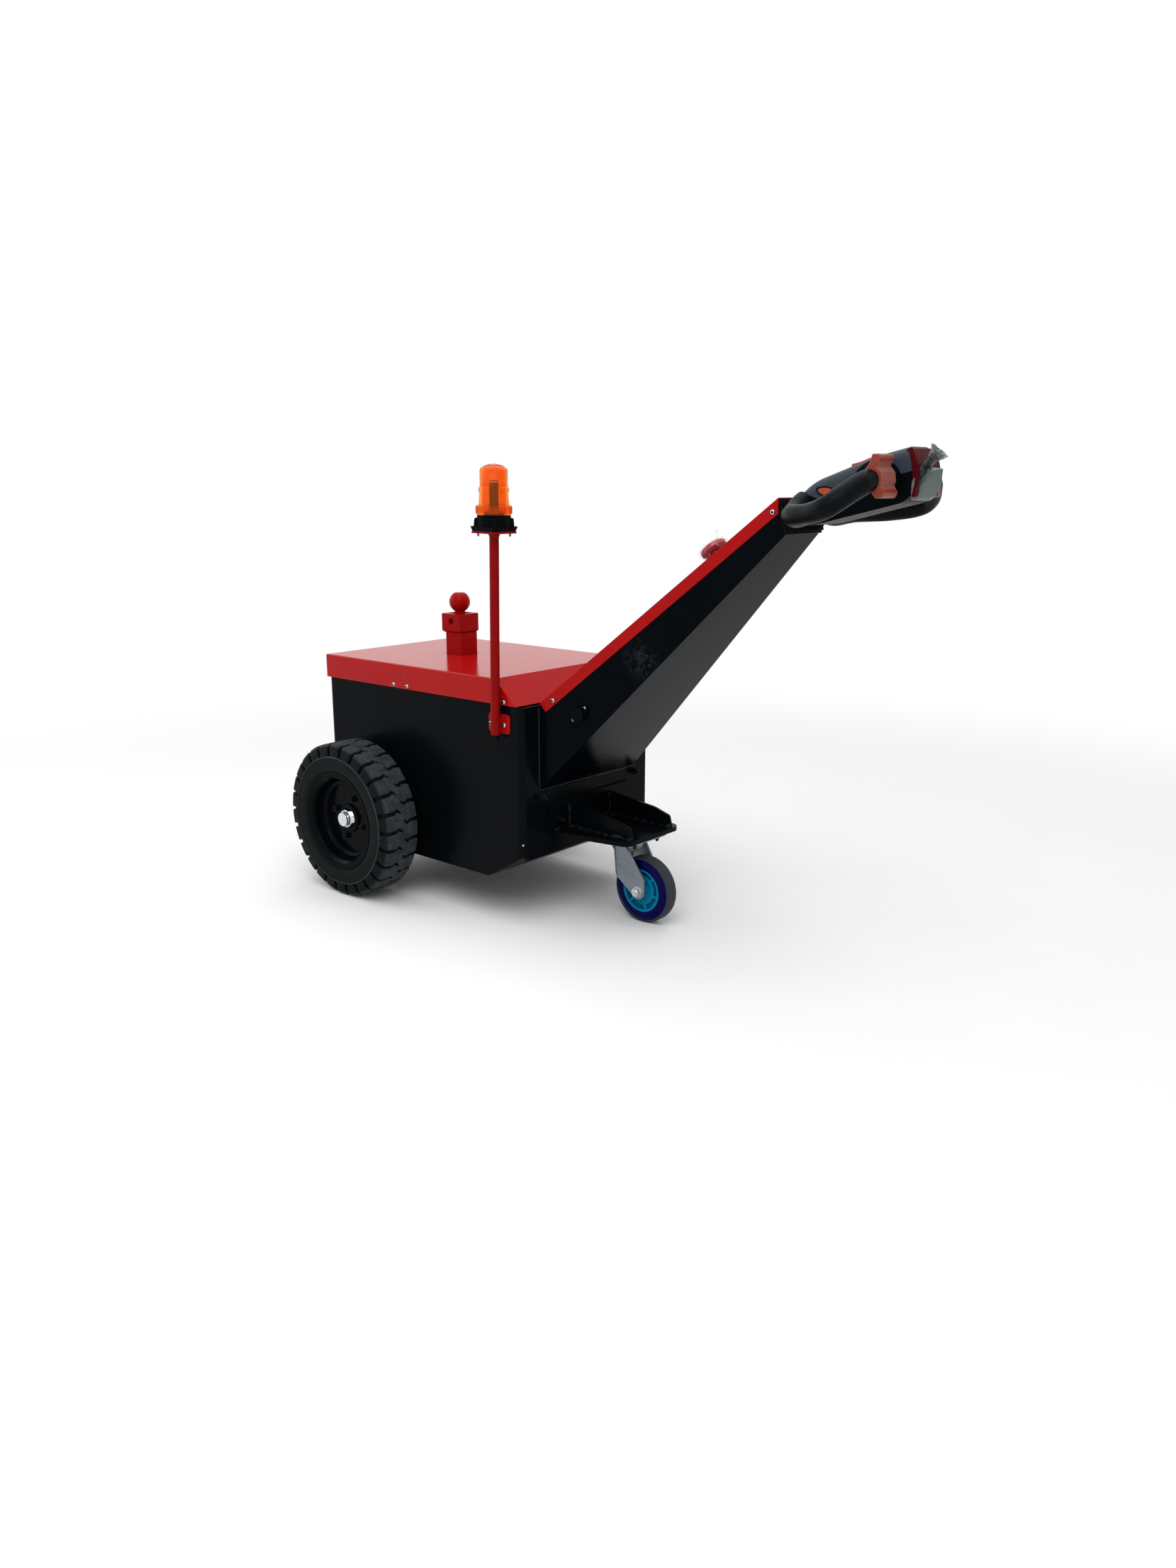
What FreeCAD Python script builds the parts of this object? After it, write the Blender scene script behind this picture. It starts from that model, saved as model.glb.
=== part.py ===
import FreeCAD
import Part
import math
import os

from FreeCAD import Vector

# Walk-behind electric tug: two driven wheels at the front, one swivel caster at the
# operator's end, a fixed tiller arm with a loop-handle head, a tow ball and a beacon.
# Units are millimetres. The drawing datum is the lid's front edge, on the machine's
# centre plane, at floor level: X runs towards the operator, Z up, and "left" is the
# operator's left, which is the -Y side. save() moves every piece to the row's frame,
# whose origin is under the middle of the whole machine.

# ---- driving dimensions -------------------------------------------------------------
SEAT_GAP = 0.3      # between pieces that seat on each other
PIN_GAP = 0.05      # radial, round a running pin
OVERRUN = 1.0       # how far a cutting tool passes the face it cuts

# Lid: a folded pan with a sloping end towards the operator.
LID_W = 441.0
LID_TOP_Z = 548.0
LID_SKIRT = 55.0
LID_TOP_L = 580.0
LID_FOOT_L = 640.0
LID_T = 2.0
LID_FOLD_R = 3.0

# Chassis: folded sheet with a heavy end plate, clipped under the operator's end.
BODY_FRONT_X = 2.5
BODY_END_X = 653.0
BODY_FLOOR_Z = 100.0
BODY_T = 4.0
BODY_BEND_R = 14.0
BODY_SIDE_GAP = 0.5
CLIP_START_X = 547.0
CLIP_END_Z = 163.0
END_PLATE_T = 8.0
END_PLATE_MARGIN = 15.0
END_PLATE_LOW_Z = 152.5

# Inner masses.
BATTERY_X = 300.0
BATTERY_L = 220.0
BATTERY_H = 215.0
MOTOR_X = 70.0
MOTOR_H = 165.0
BATTERY_SIDE_GAP = 43.0

# Drive wheels: 8 inch rims with solid block-tread tyres.
TYRE_D = 365.0
TYRE_W = 100.0
TYRE_SHOULDER_SHARE = 0.52
TYRE_BEAD_SHARE = 0.17
TYRE_TIP_INSET = 4.0
TYRE_CROWN_W = 40.0
AXLE_X = 168.0
WHEEL_GAP = 24.0
RIM_FLANGE_R = 117.0
RIM_SEAT_R = 101.5
RIM_BARREL_R = 95.0
RIM_W = 97.0
RIM_LIP_T = 4.0
RIM_STEPS = ((112.5, 1.0), (108.0, 2.5), (103.0, 5.5))
DISC_INSET = 44.0
DISC_T = 5.0
DISC_FLAT_R = 83.0
STUD_PCD = 100.0
STUD_COUNT = 4
STUD_TURN = 72.0
STUD_HOLE_R = 5.5
HUB_R = 34.0
HUB_NOSE = 6.0
HUB_FLANGE_R = 66.0
HUB_CAP_R = 25.0
HUB_CAP_T = 9.0
SPINDLE_R = 17.5
SPINDLE_GROOVE_R = 13.0
SPINDLE_END_R = 16.5
SPINDLE_FLANGE_R = 62.0
SPINDLE_FLANGE_T = 8.0
SPINDLE_DEPTH = 68.0

# Caster, 150 mm class.
CASTER_D = 150.0
CASTER_HEADROOM = 45.0
CASTER_TRAIL = 54.0
CASTER_FORK_FRONT = 17.5
CASTER_X = 768.0
CASTER_TREAD_W = 41.0
CASTER_TREAD_T = 6.0
CASTER_HUB_W = 47.0
CASTER_RIM_T = 5.0
CASTER_RIBS = 6
CASTER_RIB_T = 5.0
CASTER_AXLE_R = 6.0
CASTER_LEG_T = 4.5
CASTER_LEG_R = 17.5
CASTER_LEG_GAP = 2.0
CASTER_LEG_BEND_Z = 28.0
CASTER_NOSE_HALF_GAP = CASTER_TREAD_W / 2 + 5
CASTER_RACE_R = 36.0
CASTER_RACE_H = 12.0
CASTER_CROWN_H = 20.0
CASTER_PIN_R = 8.0
CASTER_PLATE_L = 140.0
CASTER_PLATE_W = 110.0
CASTER_PLATE_T = 5.0
CASTER_PITCH_X = 105.0
CASTER_PITCH_Y = 80.0
CASTER_BOLT_R = 5.5

# Caster bracket, welded to the end plate.
BRACKET_T = 10.0
BRACKET_ROOT_W = 276.0
BRACKET_TIP_W = 184.0
BRACKET_TIP_X = 844.0
BRACKET_CORNER_R = 22.0
BRACKET_ROOT_R = 10.0
BRACKET_BACK_T = 6.0
BRACKET_BACK_H = 76.0
GUSSET_Y = 69.0
GUSSET_T = 6.0
GUSSET_ROOT_H = 54.0
GUSSET_MID_X = 790.0
GUSSET_MID_H = 39.0
GUSSET_TIP_X = 839.0
GUSSET_TIP_H = 26.0

# Tiller arm: a tapered box beam, wide at the chassis.
ARM_T = 3.0
ARM_ROOT_HALF_W = 163.0
ARM_TIP_HALF_W = 60.0
ARM_ROOT_LOW_Z = 304.0
ARM_TIP_LOW = (1183.0, 858.0)
ARM_TIP_TOP = (1168.0, 922.0)
COVER_T = 2.0
COVER_LIP = 20.0
COVER_GAP = 0.3
COVER_SETBACK = 8.0

# Fittings on the arm.
SOCKET_X = 753.0
SOCKET_DROP = 91.0
SOCKET_R = 18.0
SOCKET_HALF_L = 32.0
STOP_X = 1011.0
STOP_BASE_R = 24.0
STOP_BASE_H = 12.0
STOP_STEM_R = 11.0
STOP_KNOB_R = 28.0
STOP_KNOB_LOW = 34.0
STOP_KNOB_TOP = 52.0

# Tiller head, in its own frame: S away from the arm's end, Y across, H up.
HEAD_PLATE_T = 6.0
HEAD_HALF_W = 45.0
HEAD_NOSE_S = 258.0
HEAD_TOP_R = 17.0
HEAD_LOW_R = 6.0
SPLIT_H = 25.0
ARCH_R = 50.0
ARCH_S = 186.0
ARCH_H = 10.6
ARCH_DEPTH = 14.0
GRIP_PATH = ((36, -1, 8), (38, 41, -4), (57, 77, -7), (88, 105, -13), (123, 123, -17),
             (162, 137, -14.5), (191, 112, 2), (209, 69, 17.5))
GRIP_SIZES = ((0.0, 21.0, 31.0), (0.1, 19.5, 25.0), (0.22, 18.0, 18.5), (0.5, 17.5, 18.0),
              (0.75, 19.0, 19.5), (0.94, 20.5, 20.5), (1.0, 18.5, 18.5))
GRIP_STATIONS = 17
SWITCH_HUB_R = 20.0
SWITCH_HUB_T = 12.0
SWITCH_GAP = 1.0
BELLY_T = 11.0
BELLY_HALF_W = 43.0

# Tow hitch through the lid.
HITCH_X = 242.0
POST_W = 52.5
POST_SHIFT = 3.5
POST_T = 5.0
POST_CLEARANCE = 3.0
POST_RISE = 53.0
COLLAR_W = 62.0
COLLAR_H = 45.0
COLLAR_CHAMFER = 4.0
BALL_D = 50.0
BALL_RISE = 2.0
BALL_FLAT_SHARE = 0.88
NECK_R = 12.5
SHANK_W = 42.0
SHANK_DROP = 6.0
PIN_HOLE_R = 8.0
PIN_HOLE_DROP = 18.0

# Warning beacon on its pole.
POLE_X = 592.0
POLE_R = 10.0
POLE_DROP = 63.0
POLE_L = 421.5
POLE_LEAN = 1.0
POLE_STANDOFF = 2.0
POLE_BRACKET_T = 3.0
POLE_BRACKET_X = (560.0, 622.0)
POLE_BRACKET_H = 42.0
POLE_PLATE_W = 68.0
POLE_PLATE_T = 4.0
BEACON_FLANGE_T = 10.0
BEACON_BASE_R = 34.0
BEACON_BASE_H = 33.0
BEACON_RING_R = 36.7
BEACON_RING_H = 19.0
LENS_R = 29.5
LENS_H = 101.0
LENS_T = 2.5
LENS_RIBS = 7
LAMP_R = 9.5
GLAND_R = 4.0

# ---- sizes that follow --------------------------------------------------------------
BODY_W = LID_W - 2 * (LID_T + BODY_SIDE_GAP)
LID_FOOT_Z = LID_TOP_Z - LID_SKIRT
ARM_ROOT_TOP_Z = LID_FOOT_Z - 2 * LID_T
AXLE_Z = TYRE_D / 2
WHEEL_Y = BODY_W / 2 + WHEEL_GAP + TYRE_W / 2
DISC_Y = WHEEL_Y + RIM_W / 2 - DISC_INSET
CASTER_H = CASTER_D + CASTER_HEADROOM
CASTER_HUB_R = CASTER_D * 0.327
CASTER_BOSS_R = CASTER_D * 0.22
BRACKET_TOP_Z = CASTER_H + BRACKET_T
COLLAR_Z0 = LID_TOP_Z + POST_RISE
COLLAR_Z1 = COLLAR_Z0 + COLLAR_H
BALL_Z = COLLAR_Z1 + BALL_D / 2 + BALL_RISE
POLE_Y = -(BODY_W / 2 + POLE_BRACKET_T + POLE_STANDOFF + POLE_R)
POLE_Z0 = LID_FOOT_Z - POLE_DROP
POLE_Z1 = POLE_Z0 + POLE_L
ARM_TAPER = (ARM_ROOT_HALF_W - ARM_TIP_HALF_W) / (ARM_TIP_LOW[0] - BODY_END_X)
HEAD_START_S = 2 * HEAD_PLATE_T


# ---- drawing helpers ----------------------------------------------------------------
def box(x0, x1, y0, y1, z0, z1):
    """A block between two corners."""
    return Part.makeBox(x1 - x0, y1 - y0, z1 - z0, Vector(x0, y0, z0))


def corner(before, at, after, radius):
    """The arc that rounds one corner, as its first, middle and last points."""
    back = (before - at).normalize()
    ahead = (after - at).normalize()
    half = back.getAngle(ahead) / 2
    middle_way = (back + ahead).normalize()
    centre = at + middle_way * (radius / math.sin(half))
    reach = radius / math.tan(half)
    return at + back * reach, centre - middle_way * radius, at + ahead * reach


def outline(points, place):
    """A closed outline of (a, b) or (a, b, corner radius) points, set in space by place(a, b)."""
    spots = [place(point[0], point[1]) for point in points]
    edges = []
    joints = []
    for n, point in enumerate(points):
        if len(point) > 2:
            after = spots[(n + 1) % len(spots)]
            first, middle, last = corner(spots[n - 1], spots[n], after, point[2])
            edges.append(Part.Arc(first, middle, last).toShape())
            joints.append((first, last))
        else:
            joints.append((spots[n], spots[n]))
    for n, joint in enumerate(joints):
        start = joint[1]
        end = joints[(n + 1) % len(joints)][0]
        if start.distanceToPoint(end) > 1e-6:
            edges.append(Part.LineSegment(start, end).toShape())
    return Part.Wire(Part.__sortEdges__(edges))


def side_profile(points, y0, y1):
    """An outline in the XZ plane, pulled along Y."""
    wire = outline(points, lambda x, z: Vector(x, y0, z))
    return Part.Face(wire).extrude(Vector(0, y1 - y0, 0))


def plan_profile(points, z0, z1):
    """An outline in the XY plane, pulled along Z."""
    wire = outline(points, lambda x, y: Vector(x, y, z0))
    return Part.Face(wire).extrude(Vector(0, 0, z1 - z0))


def lathe_y(points, x, z, side):
    """A turned form about a line along Y: points are (radius, distance from y = 0)."""
    wire = outline(points, lambda r, y: Vector(x + r, side * y, z))
    return Part.Face(wire).revolve(Vector(x, 0, z), Vector(0, 1, 0), 360)


def lathe_z(points, x, y):
    """A turned form about a line along Z: points are (radius, height)."""
    wire = outline(points, lambda r, z: Vector(x + r, y, z))
    return Part.Face(wire).revolve(Vector(x, y, 0), Vector(0, 0, 1), 360)


def rod(start, end, radius):
    """A round bar between two points."""
    a = Vector(*start)
    run = Vector(*end) - a
    return Part.makeCylinder(radius, run.Length, a, run)


def round_edges(shape, radius, chosen):
    """Fillet the edges that chosen(edge) accepts."""
    edges = [edge for edge in shape.Edges if chosen(edge)]
    return shape.makeFillet(radius, edges) if edges else shape


def along_side(edge):
    """Whether an edge lies in one plane of constant Y."""
    return edge.BoundBox.YLength < 0.01


def fuse(pieces):
    """Join shapes into one solid without seams."""
    return pieces[0].fuse(pieces[1:]).removeSplitter()


# ---- lid and chassis ----------------------------------------------------------------
def lid_outline(inset):
    """The lid's side outline from its front foot to its back foot, moved inwards by inset."""
    fall = LID_SKIRT / (LID_FOOT_L - LID_TOP_L)
    slant = inset * math.hypot(1, fall) / fall
    top = LID_TOP_Z - inset
    return [
        (inset, LID_FOOT_Z), (inset, top),
        (LID_TOP_L + inset / fall - slant, top), (LID_FOOT_L - slant, LID_FOOT_Z),
    ]


def make_lid():
    """The folded lid with the square cut-out that the hitch post comes through."""
    outer = side_profile(lid_outline(0), -LID_W / 2, LID_W / 2)
    outer = round_edges(outer, LID_FOLD_R, lambda edge: edge.BoundBox.ZMin > LID_FOOT_Z + OVERRUN)
    half = LID_W / 2 - LID_T
    inner = side_profile(lid_outline(LID_T), -half, half)
    cut_half = POST_W / 2 + POST_CLEARANCE
    post_x = HITCH_X + POST_SHIFT
    cut_out = box(post_x - cut_half, post_x + cut_half, -cut_half, cut_half,
                  LID_FOOT_Z, LID_TOP_Z + OVERRUN)
    return outer.cut([inner, cut_out])


def body_plan(inset):
    """The chassis's outline from above, as a block, with its bent corners."""
    half = BODY_W / 2 - inset
    radius = BODY_BEND_R - inset
    start = BODY_FRONT_X + inset
    end = BODY_END_X - inset
    return plan_profile([(start, -half, radius), (end, -half, radius), (end, half, radius),
                         (start, half, radius)], 0, LID_TOP_Z)


def body_side_outline():
    """The chassis's side outline, under the lid."""
    seat = lid_outline(LID_T + SEAT_GAP)
    foot_z = LID_FOOT_Z - LID_T - SEAT_GAP
    return [
        (BODY_FRONT_X, BODY_FLOOR_Z), (BODY_FRONT_X, seat[1][1]), seat[2], (seat[3][0], foot_z),
        (BODY_END_X, foot_z), (BODY_END_X, CLIP_END_Z), (CLIP_START_X, BODY_FLOOR_Z),
    ]


def make_chassis():
    """Folded shell, end plate, belly pan and lid."""
    half = BODY_W / 2
    plate_half = half - END_PLATE_MARGIN
    tall = side_profile(body_side_outline(), -half, half)
    shell = body_plan(0).cut(body_plan(BODY_T)).common(tall)
    window = box(BODY_END_X - 3 * BODY_T, BODY_END_X + OVERRUN, -plate_half, plate_half, 0, LID_TOP_Z)
    axle_hole = rod((AXLE_X, -half - OVERRUN, AXLE_Z), (AXLE_X, half + OVERRUN, AXLE_Z),
                    SPINDLE_R + 12)
    shell = shell.cut([window, axle_hole])
    foot_z = LID_FOOT_Z - LID_T - SEAT_GAP
    back_x = BODY_END_X - END_PLATE_T
    end_plate = box(back_x, BODY_END_X, -plate_half, plate_half, END_PLATE_LOW_Z, foot_z)
    rise = (CLIP_END_Z - BODY_FLOOR_Z) / (BODY_END_X - CLIP_START_X)
    lift = BODY_T * math.hypot(1, rise)
    back_z = BODY_FLOOR_Z + rise * (back_x - CLIP_START_X)
    front_x = BODY_FRONT_X + BODY_T
    pan = side_profile([
        (front_x, BODY_FLOOR_Z), (CLIP_START_X, BODY_FLOOR_Z), (back_x, back_z),
        (back_x, back_z + lift), (CLIP_START_X - (lift - BODY_T) / rise, BODY_FLOOR_Z + BODY_T),
        (front_x, BODY_FLOOR_Z + BODY_T)], BODY_T - half, half - BODY_T)
    return {"chassis_shell": shell, "end_plate": end_plate,
            "belly_pan": pan.common(body_plan(BODY_T)), "lid": make_lid()}


def make_inner_masses():
    """The batteries and the motor with its gearbox, as plain blocks at their places."""
    floor_z = BODY_FLOOR_Z + BODY_T
    half = BODY_W / 2 - BATTERY_SIDE_GAP
    battery = box(BATTERY_X, BATTERY_X + BATTERY_L, -half, half, floor_z, floor_z + BATTERY_H)
    motor_end = HITCH_X - POST_W / 2 - POST_CLEARANCE
    half = BODY_W / 2 - SPINDLE_DEPTH - SEAT_GAP
    motor = box(MOTOR_X, motor_end, -half, half, floor_z, floor_z + MOTOR_H)
    return {"battery_pack": battery, "drive_motor": motor}


# ---- drive wheels -------------------------------------------------------------------
def make_spindle(side):
    """The fixed spindle: a flange on the body, the journal, a groove and its polished end."""
    panel = BODY_W / 2
    inner = panel - SPINDLE_DEPTH
    neck = SPINDLE_R + 8
    end_y = DISC_Y + DISC_T + HUB_NOSE + HUB_CAP_T
    return lathe_y([
        (0, inner), (SPINDLE_R + 10, inner), (SPINDLE_R + 10, panel), (SPINDLE_FLANGE_R, panel),
        (SPINDLE_FLANGE_R, panel + SPINDLE_FLANGE_T, 2), (neck, panel + SPINDLE_FLANGE_T, 4),
        (neck, panel + 18), (SPINDLE_R, panel + 18), (SPINDLE_R, end_y + 1),
        (SPINDLE_GROOVE_R, end_y + 1), (SPINDLE_GROOVE_R, end_y + 5), (SPINDLE_END_R, end_y + 5),
        (SPINDLE_END_R, end_y + 9, 1), (0, end_y + 9)], AXLE_X, AXLE_Z, side)


def stud_holes(side, y0, y1, radius):
    """One hole for each wheel stud."""
    holes = []
    for n in range(STUD_COUNT):
        turn = math.radians(STUD_TURN + 360 / STUD_COUNT * n)
        x = AXLE_X + STUD_PCD / 2 * math.cos(turn)
        z = AXLE_Z + STUD_PCD / 2 * math.sin(turn)
        holes.append(rod((x, side * y0, z), (x, side * y1, z), radius))
    return holes


def make_rim(side):
    """The dished rim: stepped outer lip, deep barrel, wheel disc and plain inner flange."""
    inner_y = WHEEL_Y - RIM_W / 2
    outer_y = WHEEL_Y + RIM_W / 2
    disc_out = DISC_Y + DISC_T
    (r1, d1), (r2, d2), (r3, d3) = RIM_STEPS
    rim = lathe_y([
        (RIM_FLANGE_R, inner_y), (RIM_FLANGE_R, inner_y + RIM_LIP_T), (RIM_SEAT_R, inner_y + RIM_LIP_T),
        (RIM_SEAT_R, outer_y - RIM_LIP_T), (RIM_FLANGE_R, outer_y - RIM_LIP_T),
        (RIM_FLANGE_R, outer_y, 2), (r1, outer_y), (r1, outer_y - d1), (r2, outer_y - d1),
        (r2, outer_y - d2), (r3, outer_y - d2), (r3 - 3, outer_y - d3), (RIM_BARREL_R + 1.5, outer_y - 9, 4),
        (RIM_BARREL_R, disc_out, RIM_BARREL_R - DISC_FLAT_R), (HUB_R, disc_out), (HUB_R, DISC_Y),
        (RIM_BARREL_R, DISC_Y, 8), (RIM_BARREL_R, inner_y + 8, 3), (RIM_SEAT_R + 3, inner_y)],
        AXLE_X, AXLE_Z, side)
    return rim.cut(stud_holes(side, DISC_Y - OVERRUN, disc_out + OVERRUN, STUD_HOLE_R))


def make_tyre(side):
    """The solid tyre's envelope: flat side walls, a shoulder rib and sloping block ends."""
    crown_r = TYRE_D / 2
    section = crown_r - RIM_FLANGE_R
    shoulder_r = RIM_FLANGE_R + section * TYRE_SHOULDER_SHARE
    seat = RIM_SEAT_R + SEAT_GAP
    wall = TYRE_W / 2
    bead = RIM_W / 2 - RIM_LIP_T - SEAT_GAP
    half = [
        (seat, bead), (RIM_FLANGE_R + SEAT_GAP, bead), (RIM_FLANGE_R + 1.5, wall - 2.5),
        (RIM_FLANGE_R + section * TYRE_BEAD_SHARE, wall - 0.8), (shoulder_r - 2, wall - 0.8), (shoulder_r - 1, wall),
        (shoulder_r + 1.5, wall), (shoulder_r + 3, wall - 1.2), (crown_r - 6, wall - TYRE_TIP_INSET, 4),
        (crown_r - 0.6, wall - TYRE_TIP_INSET - 6, 8), (crown_r, TYRE_CROWN_W / 2),
    ]
    near = [(point[0], WHEEL_Y + point[1]) + tuple(point[2:]) for point in half]
    far = [(point[0], WHEEL_Y - point[1]) + tuple(point[2:]) for point in reversed(half)]
    return lathe_y(near + far, AXLE_X, AXLE_Z, side)


def make_drive_wheel(side, name):
    """One driven wheel and the spindle that carries it; side is -1 or 1."""
    panel = BODY_W / 2
    bore = SPINDLE_R + PIN_GAP
    disc_out = DISC_Y + DISC_T
    nose_y = disc_out + HUB_NOSE
    hub_start = panel + 24
    hub = lathe_y([
        (bore, hub_start), (HUB_R + 4, hub_start), (HUB_R + 4, DISC_Y - 20, 6), (HUB_FLANGE_R, DISC_Y - 12),
        (HUB_FLANGE_R, DISC_Y), (HUB_R - SEAT_GAP, DISC_Y), (HUB_R - SEAT_GAP, nose_y, 3), (bore, nose_y)],
        AXLE_X, AXLE_Z, side)
    cap = lathe_y([
        (SPINDLE_R + 1, nose_y), (HUB_CAP_R, nose_y), (HUB_CAP_R, nose_y + 1.5, 1),
        (SPINDLE_R + 3, nose_y + HUB_CAP_T, 2), (SPINDLE_R + 1, nose_y + HUB_CAP_T)],
        AXLE_X, AXLE_Z, side)
    return {
        "spindle_" + name: make_spindle(side), "drive_hub_" + name: hub,
        "drive_rim_" + name: make_rim(side), "drive_tyre_" + name: make_tyre(side),
        "hub_cap_" + name: cap,
    }


# ---- caster -------------------------------------------------------------------------
def caster_bolt_holes(z0, z1):
    """The four bolt holes of the caster's top plate."""
    return [
        rod((CASTER_X + sx * CASTER_PITCH_X / 2, sy * CASTER_PITCH_Y / 2, z0),
            (CASTER_X + sx * CASTER_PITCH_X / 2, sy * CASTER_PITCH_Y / 2, z1), CASTER_BOLT_R)
        for sx in (-1, 1) for sy in (-1, 1)
    ]


def make_bracket():
    """The welded caster bracket: back flange, tapering shelf and two gussets."""
    root = BODY_END_X + BRACKET_BACK_T
    half_root = BRACKET_ROOT_W / 2
    half_tip = BRACKET_TIP_W / 2
    back_outline = [(-half_root, CASTER_H, BRACKET_ROOT_R), (half_root, CASTER_H, BRACKET_ROOT_R),
                    (half_root, CASTER_H + BRACKET_BACK_H, 3), (-half_root, CASTER_H + BRACKET_BACK_H, 3)]
    wire = outline(back_outline, lambda y, z: Vector(BODY_END_X, y, z))
    back = Part.Face(wire).extrude(Vector(BRACKET_BACK_T, 0, 0))
    shelf_half = half_root - BRACKET_ROOT_R
    shelf = plan_profile([
        (root, -shelf_half), (BRACKET_TIP_X, -half_tip, BRACKET_CORNER_R),
        (BRACKET_TIP_X, half_tip, BRACKET_CORNER_R), (root, shelf_half)], CASTER_H, BRACKET_TOP_Z)
    gussets = [
        side_profile([
            (root, BRACKET_TOP_Z), (root, BRACKET_TOP_Z + GUSSET_ROOT_H),
            (GUSSET_MID_X, BRACKET_TOP_Z + GUSSET_MID_H, 60),
            (GUSSET_TIP_X - 6, BRACKET_TOP_Z + GUSSET_TIP_H, 8), (GUSSET_TIP_X, BRACKET_TOP_Z)],
            side * GUSSET_Y - GUSSET_T / 2, side * GUSSET_Y + GUSSET_T / 2)
        for side in (-1, 1)
    ]
    return fuse([back, shelf] + gussets).cut(caster_bolt_holes(CASTER_H - OVERRUN, BRACKET_TOP_Z + OVERRUN))


def make_caster_plate():
    """Top plate, race and king pin with its nut."""
    low = CASTER_H - CASTER_PLATE_T
    race_z = low - CASTER_RACE_H
    half_l = CASTER_PLATE_L / 2
    half_w = CASTER_PLATE_W / 2
    plate = plan_profile([(CASTER_X - half_l, -half_w, 8), (CASTER_X + half_l, -half_w, 8),
                          (CASTER_X + half_l, half_w, 8), (CASTER_X - half_l, half_w, 8)], low, CASTER_H)
    nut_z = race_z - CASTER_CROWN_H / 2
    race = lathe_z([
        (0, low), (CASTER_RACE_R - 4, low), (CASTER_RACE_R, low - 4, 2), (CASTER_RACE_R, race_z),
        (CASTER_PIN_R, race_z), (CASTER_PIN_R, nut_z - SEAT_GAP), (CASTER_PIN_R + 5, nut_z - SEAT_GAP),
        (CASTER_PIN_R + 5, nut_z - 8), (0, nut_z - 8)], CASTER_X, 0)
    plate = plate.cut(caster_bolt_holes(low - OVERRUN, CASTER_H + OVERRUN))
    return fuse([plate, race])


def make_fork(axle_x, axle_z):
    """The pressed fork: a cup-shaped crown and two legs with bent leading edges."""
    crown_z = CASTER_H - CASTER_PLATE_T - CASTER_RACE_H
    low_z = crown_z - CASTER_CROWN_H
    inner = CASTER_HUB_W / 2 + CASTER_LEG_GAP
    outer = inner + CASTER_LEG_T
    bore = CASTER_PIN_R + PIN_GAP
    crown = lathe_z([
        (bore, crown_z - SEAT_GAP), (bore, crown_z - CASTER_CROWN_H / 2), (CASTER_PIN_R + 9, crown_z - CASTER_CROWN_H / 2),
        (CASTER_PIN_R + 9, low_z), (CASTER_RACE_R - 4, low_z, 3), (CASTER_RACE_R, crown_z - 8, 6),
        (CASTER_RACE_R, crown_z - SEAT_GAP)], CASTER_X, 0)
    top_z = crown_z - SEAT_GAP
    bend_z = axle_z + CASTER_LEG_BEND_Z
    front = CASTER_X - CASTER_FORK_FRONT
    rear = axle_x + 40

    def trough(inset):
        """The fork's outside, or its inside: parallel at the axle, wider at the crown."""
        def plan(half, z):
            turn = 16 - inset
            return outline([(front + inset, -half, turn), (rear, -half), (rear, half), (front + inset, half, turn)],
                           lambda x, y: Vector(x, y, z))
        wide = CASTER_RACE_R + 1.5 - inset
        slim = outer - inset
        upper = Part.makeLoft([plan(slim, bend_z), plan(wide, top_z)], True, True)
        return upper.fuse(Part.Face(plan(slim, bend_z)).extrude(Vector(0, 0, -bend_z)))

    shell = trough(0).cut(trough(CASTER_LEG_T))
    leg = side_profile([
        (front - 1, top_z), (front - 1, axle_z + 34), (CASTER_X + 10, axle_z + 12),
        (axle_x - CASTER_LEG_R * 0.75, axle_z - CASTER_LEG_R * 0.66),
        (axle_x + CASTER_LEG_R, axle_z), (axle_x + CASTER_LEG_R, axle_z + 30, 10),
        (CASTER_X + 27, top_z - 8, 8), (CASTER_X + 20, top_z)], -CASTER_PLATE_W, CASTER_PLATE_W)
    gap = CASTER_NOSE_HALF_GAP
    nose = box(front - 1, CASTER_X, -gap, gap, 0, low_z)
    pieces = [crown, shell.common(leg).cut(nose)]
    for side in (-1, 1):
        y0, y1 = sorted((side * inner, side * outer))
        pieces.append(rod((axle_x, y0, axle_z), (axle_x, y1, axle_z), CASTER_LEG_R))
    bore_y = outer + OVERRUN
    return fuse(pieces).cut(rod((axle_x, -bore_y, axle_z), (axle_x, bore_y, axle_z), CASTER_AXLE_R + PIN_GAP))


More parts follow.
